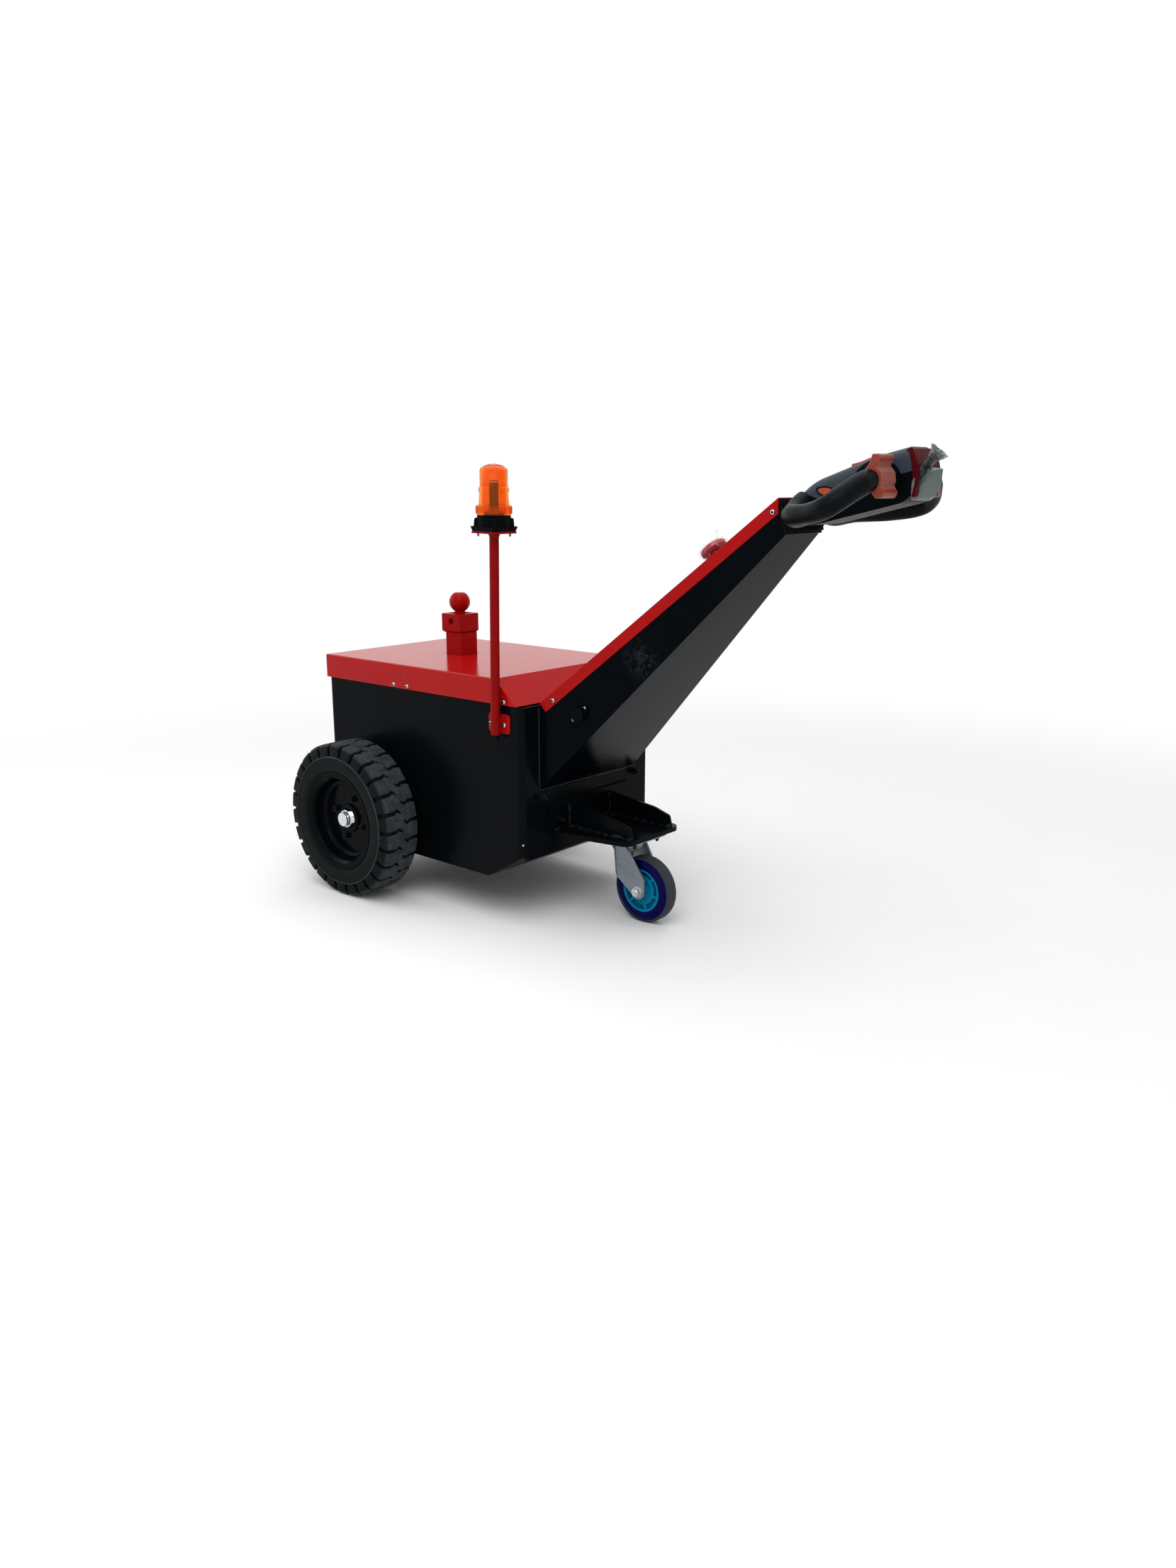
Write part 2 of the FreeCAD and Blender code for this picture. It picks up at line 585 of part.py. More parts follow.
def make_caster_wheel(axle_x, axle_z):
    """Ribbed hub, convex side ring and tread."""
    hub_half = CASTER_HUB_W / 2
    rim_half = CASTER_TREAD_W / 2 - 2
    web = 5.0
    rim_in = CASTER_HUB_R - CASTER_RIM_T
    bore = CASTER_AXLE_R + PIN_GAP
    half = [
        (bore, hub_half), (13, hub_half, 1), (15, 12), (20, 11), (23, 13.5), (27, 13.5), (28, 15.5),
        (CASTER_BOSS_R, 15.5, 1), (CASTER_BOSS_R, web, 2), (rim_in, web, 2), (rim_in, rim_half, 1),
        (CASTER_HUB_R, rim_half),
    ]
    mirrored = [(point[0], -point[1]) + tuple(point[2:]) for point in reversed(half)]
    hub = lathe_y(half + mirrored, axle_x, axle_z, 1)
    ribs = []
    for n in range(CASTER_RIBS):
        turn = 15 + 360 / CASTER_RIBS * n
        rib = box(axle_x + CASTER_BOSS_R - 2, axle_x + rim_in + 1, -rim_half + 3, rim_half - 3,
                  axle_z - CASTER_RIB_T / 2, axle_z + CASTER_RIB_T / 2)
        ribs.append(rib.rotated(Vector(axle_x, 0, axle_z), Vector(0, 1, 0), turn))
    wheel_r = CASTER_D / 2
    tread_r = wheel_r - CASTER_TREAD_T
    tread_half = CASTER_TREAD_W / 2
    ring_r = (CASTER_HUB_R + tread_r) / 2
    ring = lathe_y([
        (CASTER_HUB_R + SEAT_GAP, -rim_half), (ring_r, -tread_half, 12), (tread_r, -tread_half + 5),
        (tread_r, tread_half - 5), (ring_r, tread_half, 12), (CASTER_HUB_R + SEAT_GAP, rim_half)],
        axle_x, axle_z, 1)
    tread = lathe_y([
        (tread_r + SEAT_GAP, -tread_half + 5), (wheel_r - 1.5, -tread_half + 6, 2), (wheel_r, -tread_half + 11, 20),
        (wheel_r, tread_half - 11, 20), (wheel_r - 1.5, tread_half - 6, 2), (tread_r + SEAT_GAP, tread_half - 5)],
        axle_x, axle_z, 1)
    return {"caster_hub": fuse([hub] + ribs), "caster_ring": ring, "caster_tread": tread}


def make_caster():
    """The whole caster and the bracket that carries it."""
    axle_x = CASTER_X + CASTER_TRAIL
    axle_z = CASTER_D / 2
    head = CASTER_HUB_W / 2 + CASTER_LEG_GAP + CASTER_LEG_T
    axle = [rod((axle_x, -head - 12, axle_z), (axle_x, head + 10, axle_z), CASTER_AXLE_R)]
    for y0, y1, sides_r in ((-head - 9.5, -head - 1.5, 10.9), (head + 1.5, head + 8.5, 10.9)):
        axle.append(Part.Face(Part.makePolygon([
            Vector(axle_x + sides_r * math.cos(math.radians(60 * n)), y0,
                   axle_z + sides_r * math.sin(math.radians(60 * n))) for n in range(7)
        ])).extrude(Vector(0, y1 - y0, 0)))
    for side in (-1, 1):
        axle.append(rod((axle_x, side * head, axle_z), (axle_x, side * (head + 1.5), axle_z), 12))
    pieces = {"caster_fork": make_fork(axle_x, axle_z), "caster_axle": fuse(axle),
              "caster_plate": make_caster_plate(), "caster_bracket": make_bracket()}
    pieces.update(make_caster_wheel(axle_x, axle_z))
    return pieces


# ---- tiller arm ---------------------------------------------------------------------
def arm_side_outline(inset):
    """The arm's side outline, moved inwards by inset along its long edges."""
    low = (ARM_TIP_LOW[0] - BODY_END_X, ARM_TIP_LOW[1] - ARM_ROOT_LOW_Z)
    top = (ARM_TIP_TOP[0] - BODY_END_X, ARM_TIP_TOP[1] - ARM_ROOT_TOP_Z)
    up = inset * math.hypot(*low) / low[0]
    down = inset * math.hypot(*top) / top[0]
    return [
        (BODY_END_X, ARM_ROOT_LOW_Z + up), (ARM_TIP_LOW[0], ARM_TIP_LOW[1] + up),
        (ARM_TIP_TOP[0], ARM_TIP_TOP[1] - down), (BODY_END_X, ARM_ROOT_TOP_Z - down),
    ]


def arm_plan(inset):
    """The arm's tapered outline from above, as a tall block, moved inwards by inset."""
    shift = inset * math.hypot(1, ARM_TAPER)
    near = BODY_END_X - 20
    far = ARM_TIP_LOW[0] + 40
    start = ARM_ROOT_HALF_W + 20 * ARM_TAPER - shift
    tip = ARM_ROOT_HALF_W - ARM_TAPER * (far - BODY_END_X) - shift
    return plan_profile([(near, -start), (far, -tip), (far, tip), (near, start)], 0, ARM_TIP_TOP[1] + 200)


def arm_slope():
    """The angle of the arm's top above the horizontal, in radians."""
    return math.atan2(ARM_TIP_TOP[1] - ARM_ROOT_TOP_Z, ARM_TIP_TOP[0] - BODY_END_X)


def arm_band(above, below):
    """A slab along the arm's top, from above its top edge down to below it."""
    wide = 2 * ARM_ROOT_HALF_W
    high = arm_side_outline(-above)
    low = arm_side_outline(below)
    return side_profile([low[3], low[2], high[2], high[3]], -wide, wide)


def make_arm():
    """The black channel and the red cover that closes it."""
    wide = 2 * ARM_ROOT_HALF_W
    outer = side_profile(arm_side_outline(0), -wide, wide).common(arm_plan(0))
    floor = arm_side_outline(ARM_T)
    hollow = side_profile([floor[0], floor[1], (ARM_TIP_TOP[0], ARM_TIP_TOP[1] + 60),
                           (BODY_END_X, ARM_ROOT_TOP_Z + 60)], -wide, wide)
    channel = outer.cut(hollow.common(arm_plan(ARM_T)))
    lift = COVER_T + COVER_GAP
    skin = arm_band(lift, COVER_LIP).common(arm_plan(-lift))
    pocket = arm_band(COVER_GAP, COVER_LIP + 5).common(arm_plan(-COVER_GAP))
    behind = box(-wide, COVER_SETBACK, -wide, wide, -wide, wide)
    behind = behind.rotated(Vector(0, 0, 0), Vector(0, 1, 0), -math.degrees(arm_slope()))
    behind = behind.translated(Vector(BODY_END_X, 0, ARM_ROOT_TOP_Z))
    return {"tiller_arm": channel, "tiller_cover": skin.cut([pocket, behind])}


def make_arm_fittings():
    """The charging socket on the arm's left side and the emergency stop on its cover."""
    angle = arm_slope()
    y = ARM_TAPER * (SOCKET_X - BODY_END_X) - ARM_ROOT_HALF_W
    z = ARM_ROOT_TOP_Z + (SOCKET_X - BODY_END_X) * math.tan(angle) - SOCKET_DROP
    out = Vector(ARM_TAPER, -1, 0).normalize()
    along = Vector(math.cos(angle), math.cos(angle) * ARM_TAPER, math.sin(angle))
    across = out.cross(along)
    seat = Vector(SOCKET_X, y, z) + out * SEAT_GAP
    lozenge = [(-SOCKET_HALF_L, 0, 7), (0, -SOCKET_R, 9), (SOCKET_HALF_L, 0, 7), (0, SOCKET_R, 9)]
    flange = Part.Face(outline(lozenge, lambda a, b: seat + along * a + across * b)).extrude(out * 4)
    socket = fuse([flange, Part.makeCylinder(SOCKET_R - 3, 13, seat, out)])
    normal = Vector(-math.sin(angle), 0, math.cos(angle))
    foot = Vector(STOP_X, 0, ARM_ROOT_TOP_Z + (STOP_X - BODY_END_X) * math.tan(angle))
    foot += normal * (COVER_T + COVER_GAP + SEAT_GAP)
    top = foot + normal * STOP_BASE_H
    collar = Part.makeCylinder(STOP_BASE_R, STOP_BASE_H, foot, normal)
    collar = round_edges(collar, 2, lambda edge: edge.BoundBox.ZMax > top.z)
    stem = Part.makeCylinder(STOP_STEM_R, STOP_KNOB_LOW - STOP_BASE_H + OVERRUN, top, normal)
    knob = lathe_z([
        (0, STOP_KNOB_LOW), (STOP_KNOB_R - 5, STOP_KNOB_LOW), (STOP_KNOB_R, STOP_KNOB_LOW + 4, 3),
        (STOP_KNOB_R, STOP_KNOB_TOP - 4, 5), (0, STOP_KNOB_TOP)], 0, 0)
    knob = knob.rotated(Vector(0, 0, 0), Vector(0, 1, 0), -math.degrees(angle)).translated(foot)
    return {"charging_socket": socket, "stop_collar": collar, "stop_button": fuse([stem, knob])}


# ---- tiller head --------------------------------------------------------------------
HEAD_TILT = math.degrees(math.atan2(ARM_TIP_LOW[0] - ARM_TIP_TOP[0], ARM_TIP_TOP[1] - ARM_TIP_LOW[1]))


def to_head(shape):
    """Move a piece from the head's own frame to the arm's end."""
    middle = Vector((ARM_TIP_LOW[0] + ARM_TIP_TOP[0]) / 2, 0, (ARM_TIP_LOW[1] + ARM_TIP_TOP[1]) / 2)
    return shape.rotated(Vector(0, 0, 0), Vector(0, 1, 0), -HEAD_TILT).translated(middle)


def head_block():
    """The moulded body before it is split: a whale-backed top with rounded edges and a bulging nose."""
    nose = HEAD_NOSE_S
    reach = nose + 40
    back = [(-30, -60), (reach, -60), (reach, 65.5), (188, 65.5, 260), (62, 51, 110), (-30, 4)]
    block = side_profile(back, -HEAD_HALF_W, HEAD_HALF_W)
    block = round_edges(block, HEAD_TOP_R, lambda edge: along_side(edge) and edge.CenterOfMass.z > 0
                        and edge.BoundBox.XLength > 1)
    ends = side_profile([
        (HEAD_START_S, -20, 6), (60, -26, 60), (nose - 30, -25, 40), (nose - 14, -18, 12), (nose, SPLIT_H, 150),
        (nose - 8, 90), (HEAD_START_S, 90)], -HEAD_HALF_W - OVERRUN, HEAD_HALF_W + OVERRUN)
    return block.common(ends)


def split_line():
    """The parting line's outline: what lies inside it belongs to the lower shell."""
    end = HEAD_NOSE_S + 60
    return [(-10, -80), (end, -80), (end, SPLIT_H), (150, SPLIT_H - 3, 60), (76, 14, 4), (44, 33, 8), (12, 47), (-10, 52)]


def make_shells():
    """Lower and upper head shells; the lower one rises as an arch round each switch."""
    block = head_block()
    reach = HEAD_HALF_W + 10
    inside = HEAD_HALF_W - ARCH_DEPTH
    lower_zone = side_profile(split_line(), -reach, reach)
    arches = [rod((ARCH_S, side * inside, ARCH_H), (ARCH_S, side * reach, ARCH_H), ARCH_R) for side in (-1, 1)]
    zone = lower_zone.fuse(arches)
    return block.common(zone), block.cut(zone)


def between(table, at):
    """Straight interpolation in a table of (at, value, value) rows."""
    for low, high in zip(table, table[1:]):
        if at <= high[0]:
            share = (at - low[0]) / (high[0] - low[0])
            return [a + (b - a) * share for a, b in zip(low[1:], high[1:])]
    return list(table[-1][1:])


def oval(centre, ahead, half_w, half_h):
    """An upright ellipse across a path."""
    across = ahead.cross(Vector(0, 0, 1)).normalize()
    up = across.cross(ahead)
    place = FreeCAD.Matrix(
        across.x * half_w, up.x * half_h, ahead.x, centre.x,
        across.y * half_w, up.y * half_h, ahead.y, centre.y,
        across.z * half_w, up.z * half_h, ahead.z, centre.z)
    return Part.Wire(Part.makeCircle(1).transformGeometry(place).Edges)


def make_grips():
    """The two loop handles, lofted from a tall oval on the body round to the switch."""
    path = Part.BSplineCurve()
    path.interpolate([Vector(s, HEAD_HALF_W + out, h) for s, out, h in GRIP_PATH])
    wires = []
    for n in range(GRIP_STATIONS):
        at = n / (GRIP_STATIONS - 1)
        spot = path.FirstParameter + (path.LastParameter - path.FirstParameter) * at
        ahead = Vector(*path.tangent(spot)[0]).normalize()
        if n in (0, GRIP_STATIONS - 1):
            ahead = Vector(0, 1 if n == 0 else -1, 0)
        wires.append(oval(path.value(spot), ahead, *between(GRIP_SIZES, at)))
    seat = HEAD_HALF_W + SEAT_GAP
    body = box(0, HEAD_NOSE_S, -seat, seat, -2 * HEAD_HALF_W, 2 * HEAD_HALF_W)
    right = Part.makeLoft(wires, True, False).cut(body)
    return right.mirror(Vector(0, 0, 0), Vector(0, 1, 0)), right


def make_switch(side):
    """One butterfly switch wing with its two thumb lobes."""
    y0, y1 = sorted((side * (HEAD_HALF_W + SWITCH_HUB_T + SWITCH_GAP), side * (HEAD_HALF_W + GRIP_PATH[-1][1] - SWITCH_GAP)))
    wing = side_profile([
        (221, 60, 4), (233, 57, 4), (232, 47, 6), (225, 39, 5), (231, 27, 6), (231, 12, 6), (226, 5, 4),
        (231, -6, 5), (226, -15, 4), (214, -13, 5), (208, -2, 8), (203, 14, 8), (204, 38, 8), (214, 46, 8)],
        y0, y1)
    return round_edges(wing, 2.5, along_side)


def make_horns():
    """The horn rocker on each side of the upper shell, in its recess."""
    rockers = []
    recesses = []
    for side in (-1, 1):
        y0, y1 = sorted((side * (HEAD_HALF_W - 6), side * (HEAD_HALF_W + 4)))
        rocker = side_profile([(72, 35, 3), (86, 33.5, 8), (99, 29, 3), (96, 23, 3), (85, 20.5, 6), (76, 27, 4)], y0, y1)
        rockers.append(round_edges(rocker, 1.2, along_side))
        y0, y1 = sorted((side * (HEAD_HALF_W - 6 - SEAT_GAP), side * (HEAD_HALF_W + 10)))
        recesses.append(side_profile([(66, 39, 5), (88, 37, 6), (103, 31, 4), (99, 20.5, 4), (84, 17.5, 6), (70, 25, 5)], y0, y1))
    return rockers, recesses


def make_head():
    """Mounting plates, body shells, loop handles and controls."""
    half_h = math.hypot(ARM_TIP_TOP[0] - ARM_TIP_LOW[0], ARM_TIP_TOP[1] - ARM_TIP_LOW[1]) / 2
    half_w = ARM_TIP_HALF_W
    end_plate = box(0, HEAD_PLATE_T, -half_w - 2, half_w + 2, -half_h, half_h)
    flange = box(HEAD_PLATE_T, HEAD_START_S, -half_w, half_w, -half_h + 4, half_h - 6)
    lower, upper = make_shells()
    rockers, recesses = make_horns()
    upper = upper.cut(recesses)
    lower = lower.cut(recesses)
    slot = box(127 - SEAT_GAP, 166 + SEAT_GAP, -12 - SEAT_GAP, 12 + SEAT_GAP, 55, 80)
    upper = upper.cut(slot)
    top_switch = side_profile([(127, 55 + SEAT_GAP), (166, 55 + SEAT_GAP), (166, 69, 2), (147, 66.5, 40), (127, 66.5, 2)], -12, 12)
    top_switch = round_edges(top_switch, 1.5, lambda edge: along_side(edge) and edge.BoundBox.ZMin > 60)
    nose = HEAD_NOSE_S
    belly = side_profile([
        (nose - 8 + SEAT_GAP, 61), (nose + BELLY_T - 8, 63, 5), (nose + BELLY_T, SPLIT_H, 90),
        (nose - 5, -23, 5), (nose - 13, -17)], -BELLY_HALF_W, BELLY_HALF_W)
    belly = belly.cut(head_block().translated(Vector(SEAT_GAP, 0, 0)))
    pieces = {
        "arm_end_plate": end_plate, "head_flange": flange, "head_lower_shell": lower,
        "head_upper_shell": upper, "belly_button": belly, "top_switch": top_switch,
        "horn_rockers": Part.makeCompound(rockers),
    }
    pieces["handle_loop_left"], pieces["handle_loop_right"] = make_grips()
    bosses = []
    for side, name in ((-1, "left"), (1, "right")):
        pieces["thumb_switch_" + name] = make_switch(side)
        start = Vector(212, side * (HEAD_HALF_W + SEAT_GAP), 22)
        bosses.append(Part.makeCylinder(SWITCH_HUB_R, SWITCH_HUB_T, start, Vector(0, side, 0)))
    pieces["switch_bosses"] = Part.makeCompound(bosses)
    return {node: to_head(shape) for node, shape in pieces.items()}


# ---- hitch --------------------------------------------------------------------------
def square_tube(x, width, bore, z0, z1):
    """A square tube standing at x on the centre plane."""
    outer = box(x - width / 2, x + width / 2, -width / 2, width / 2, z0, z1)
    half = bore / 2
    return outer.cut(box(x - half, x + half, -half, half, z0 - OVERRUN, z1 + OVERRUN))


def make_hitch():
    """Square post, receiver collar and tow ball."""
    post = square_tube(HITCH_X + POST_SHIFT, POST_W, POST_W - 2 * POST_T, BODY_FLOOR_Z + BODY_T, COLLAR_Z0)
    bore = SHANK_W + 2 * SEAT_GAP
    collar = square_tube(HITCH_X, COLLAR_W, bore, COLLAR_Z0, COLLAR_Z1)
    low = [edge for edge in collar.Edges if edge.BoundBox.ZMax < COLLAR_Z0 + 0.01
           and max(abs(edge.BoundBox.YMin), abs(edge.BoundBox.YMax)) > bore / 2 + OVERRUN]
    collar = collar.makeChamfer(COLLAR_CHAMFER, low)
    half = SHANK_W / 2
    shank_top = COLLAR_Z1 - SHANK_DROP
    shank = box(HITCH_X - half, HITCH_X + half, -half, half, COLLAR_Z0, shank_top)
    neck_z = BALL_Z - math.sqrt((BALL_D / 2) ** 2 - NECK_R ** 2)
    ball = lathe_z([(0, shank_top), (NECK_R + 4, shank_top), (NECK_R, shank_top + 4, 3), (NECK_R, neck_z + OVERRUN),
                    (0, neck_z + OVERRUN)], HITCH_X, 0)
    sphere = Part.makeSphere(BALL_D / 2, Vector(HITCH_X, 0, BALL_Z))
    sphere = sphere.common(box(HITCH_X - BALL_D, HITCH_X + BALL_D, -BALL_D, BALL_D, BALL_Z - BALL_D,
                               BALL_Z + BALL_D / 2 * BALL_FLAT_SHARE))
    pin_z = COLLAR_Z1 - PIN_HOLE_DROP
    pin = rod((HITCH_X, -COLLAR_W, pin_z), (HITCH_X, COLLAR_W, pin_z), PIN_HOLE_R)
    return {"hitch_post": post, "hitch_collar": collar.cut(pin), "tow_ball": fuse([shank, ball, sphere]).cut(pin)}


# ---- beacon -------------------------------------------------------------------------
def square_plan(half, radius, z0, z1):
    """A rounded square plate centred on the pole."""
    return plan_profile([(POLE_X - half, POLE_Y - half, radius), (POLE_X + half, POLE_Y - half, radius),
                         (POLE_X + half, POLE_Y + half, radius), (POLE_X - half, POLE_Y + half, radius)], z0, z1)


def make_beacon_base(base_z):
    """Square foot with drawn-in sides, round body and four corner webs."""
    half = POLE_PLATE_W / 2
    foot = Part.makeLoft([
        outline([(-a, -a, 6), (a, -a, 6), (a, a, 6), (-a, a, 6)],
                lambda x, y, z=z: Vector(POLE_X + x, POLE_Y + y, z)) for a, z in
        ((half - 1, base_z), (half + 2, base_z + BEACON_FLANGE_T))], True, True)
    body = lathe_z([
        (0, base_z), (BEACON_BASE_R, base_z), (BEACON_BASE_R, base_z + BEACON_BASE_H),
        (0, base_z + BEACON_BASE_H)], POLE_X, POLE_Y)
    webs = []
    for n in range(4):
        web = side_profile([(BEACON_BASE_R - 3, base_z + 4), (BEACON_BASE_R + 8, base_z + 4),
                            (BEACON_BASE_R + 6, base_z + BEACON_BASE_H - 7, 3),
                            (BEACON_BASE_R - 3, base_z + BEACON_BASE_H - 5)], -4, 4)
        web = web.rotated(Vector(0, 0, 0), Vector(0, 0, 1), 45 + 90 * n)
        webs.append(web.translated(Vector(POLE_X, POLE_Y, 0)))
    return fuse([foot, body] + webs)


def make_lens(lens_z):
    """The ribbed amber lens: mounting ring, waist ring, upper ribs and domed cap."""
    top = lens_z + LENS_H
    rib_z0 = lens_z + 55
    pitch = (top - 14 - rib_z0) / LENS_RIBS
    outside = [
        (BEACON_RING_R - 1, lens_z), (BEACON_RING_R, lens_z + 3, 1), (BEACON_RING_R, lens_z + BEACON_RING_H, 1.5),
        (LENS_R + 2, lens_z + BEACON_RING_H), (LENS_R, lens_z + 43), (LENS_R + 2, lens_z + 46, 1),
        (LENS_R + 2, lens_z + 53, 1), (LENS_R - 0.5, rib_z0),
    ]
    for n in range(LENS_RIBS):
        outside.append((LENS_R - 0.3, rib_z0 + pitch * (n + 0.45)))
        outside.append((LENS_R - 1.3, rib_z0 + pitch * (n + 1)))
    outside += [(LENS_R - 2, top - 10, 2.5), (LENS_R - 12, top - 2.5, 30), (0, top)]
    wall = LENS_R - 1.3 - LENS_T
    inside = [(0, top - LENS_T), (wall - 8, top - 3 - LENS_T), (wall - 1, top - 13), (wall, lens_z)]
    return lathe_z(outside + inside, POLE_X, POLE_Y)


def make_beacon():
    """Pole bracket, pole, top plate, base, lens, lamp and cable gland."""
    panel = -BODY_W / 2
    x0, x1 = POLE_BRACKET_X
    low = POLE_Z0 + 2
    bracket = side_profile([(x0, low, 8), (x1, low, 8), (x1, low + POLE_BRACKET_H, 8), (x0, low + POLE_BRACKET_H, 8)],
                           panel - POLE_BRACKET_T, panel)
    saddle = box(POLE_X - 7, POLE_X + 7, POLE_Y, panel - POLE_BRACKET_T, low + 4, low + POLE_BRACKET_H - 4)
    bore = rod((POLE_X, POLE_Y, 0), (POLE_X, POLE_Y, POLE_Z1), POLE_R + PIN_GAP)
    base_z = POLE_Z1 + POLE_PLATE_T
    lens_z = base_z + BEACON_BASE_H
    lamp = lathe_z([(0, lens_z), (20, lens_z), (20, lens_z + 6), (LAMP_R, lens_z + 9, 3), (LAMP_R, lens_z + 66, 3),
                    (0, lens_z + 66)], POLE_X, POLE_Y)
    pieces = {
        "beacon_bracket": fuse([bracket, saddle]).cut(bore),
        "beacon_pole": rod((POLE_X, POLE_Y, POLE_Z0), (POLE_X, POLE_Y, POLE_Z1), POLE_R),
        "beacon_plate": square_plan(POLE_PLATE_W / 2, 5, POLE_Z1, base_z),
        "beacon_base": make_beacon_base(base_z), "beacon_lens": make_lens(lens_z), "beacon_lamp": lamp,
        "cable_gland": rod((POLE_X + 4, POLE_Y + 2, POLE_Z0 - 10), (POLE_X + 4, POLE_Y + 2, POLE_Z0), GLAND_R),
    }
    foot = Vector(POLE_X, POLE_Y, low + POLE_BRACKET_H / 2)
    return {node: shape.rotated(foot, Vector(0, 1, 0), POLE_LEAN) for node, shape in pieces.items()}


def save(node, shape, shift):
    """Write one piece, moved to the row's frame."""
    placed = shape.translated(shift)
    if not placed.isValid():
        raise ValueError(node + " is not a valid solid")
    placed.exportStep("parts/" + node + ".step")


def main():
    """Build every piece and write one STEP file for each."""
    os.makedirs("parts", exist_ok=True)
    pieces = {}
    pieces.update(make_chassis())
    pieces.update(make_inner_masses())
    for side, name in ((-1, "left"), (1, "right")):
        pieces.update(make_drive_wheel(side, name))
    pieces.update(make_caster())
    pieces.update(make_arm())
    pieces.update(make_arm_fittings())
    pieces.update(make_head())
    pieces.update(make_hitch())
    pieces.update(make_beacon())
    extents = [shape.optimalBoundingBox(False) for shape in pieces.values()]
    front = min(extent.XMin for extent in extents)
    back = max(extent.XMax for extent in extents)
    shift = Vector(-(front + back) / 2, 0, 0)
    print("moved to the row's frame by", round(shift.x, 4))
    for node, shape in pieces.items():
        save(node, shape, shift)


main()
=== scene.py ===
"""Looks of the walk-behind electric tug: finishes, block tread, fasteners, weld beads and wrapping film."""

import functools
import logging
import math
from dataclasses import KW_ONLY, dataclass
from enum import Enum

import bmesh
import bpy
from bmesh.types import BMesh, BMFace, BMVert
from bpy.types import ID, Material, Node, NodeSocket, NodeTree, Object, World
from mathutils import Matrix, Vector, noise
from mathutils.bvhtree import BVHTree


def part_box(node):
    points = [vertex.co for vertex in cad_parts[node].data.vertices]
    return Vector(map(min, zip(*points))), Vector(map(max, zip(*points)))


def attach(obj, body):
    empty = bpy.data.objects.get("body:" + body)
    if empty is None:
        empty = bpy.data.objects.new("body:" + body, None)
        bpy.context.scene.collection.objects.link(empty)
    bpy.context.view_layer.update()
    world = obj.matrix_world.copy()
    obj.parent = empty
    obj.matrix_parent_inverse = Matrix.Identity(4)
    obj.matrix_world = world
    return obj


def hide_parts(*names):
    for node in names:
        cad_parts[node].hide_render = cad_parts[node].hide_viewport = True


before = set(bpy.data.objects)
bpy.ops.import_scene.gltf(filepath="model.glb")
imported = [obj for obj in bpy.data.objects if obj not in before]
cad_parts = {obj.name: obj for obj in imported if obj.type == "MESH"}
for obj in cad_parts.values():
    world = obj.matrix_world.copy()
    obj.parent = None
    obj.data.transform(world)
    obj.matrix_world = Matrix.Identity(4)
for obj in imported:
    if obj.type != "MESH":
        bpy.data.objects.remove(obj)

MM = 0.001
UP = Vector((0, 0, 1))
SEED = 11  # without one, noise vectors differ from run to run
log = logging.getLogger("tug")


class Side(Enum):
    """The two sides of the tug, as the sign of Y."""

    LEFT = -1
    RIGHT = 1

    @property
    def word(self) -> str:
        """The side's name in node and body names."""
        return self.name.lower()


def corners(node: str) -> tuple[Vector, Vector]:
    """A CAD node's lowest and highest corners at rest."""
    low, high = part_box(node)
    return Vector(low), Vector(high)


def put_in_scene(name: str, data: ID) -> Object:
    """Links a mesh, a lamp or a camera into the scene.

    Args:
        name: The object's name.
        data: What it shows.

    Returns:
        The new object.
    """
    thing = bpy.data.objects.new(name, data)
    bpy.context.scene.collection.objects.link(thing)
    return thing


# ---- shader nodes -------------------------------------------------------------------
def linear(code: str) -> tuple[float, float, float, float]:
    """Turns an sRGB hex colour into linear red, green, blue and alpha."""
    values = [int(code[n:n + 2], 16) / 255 for n in (1, 3, 5)]
    return tuple(v / 12.92 if v <= 0.04045 else ((v + 0.055) / 1.055) ** 2.4 for v in values) + (1.0,)


def per_mm(size: float) -> float:
    """The texture scale at which a pattern's features are `size` millimetres across."""
    return 1 / (size * MM)


def empty_tree(owner: Material | World) -> NodeTree:
    """Turns nodes on and clears them.

    Args:
        owner: The material or world.

    Returns:
        Its node tree.
    """
    owner.use_nodes = True
    owner.node_tree.nodes.clear()
    return owner.node_tree


def add_node(tree: NodeTree, kind: str, values: dict | None = None) -> Node:
    """Adds a node to a tree, with its settings and links.

    Args:
        tree: The node tree.
        kind: The node's type name.
        values: By property name, or by input socket's name or number. An output socket is linked,
            and a node is linked by its first output.

    Returns:
        The new node.
    """
    node = tree.nodes.new(kind)
    for key, value in (values or {}).items():
        if isinstance(value, Node):
            value = value.outputs[0]
        if isinstance(value, NodeSocket):
            tree.links.new(value, node.inputs[key])
        elif isinstance(key, str) and hasattr(node, key):
            setattr(node, key, value)
        else:
            node.inputs[key].default_value = value
    return node


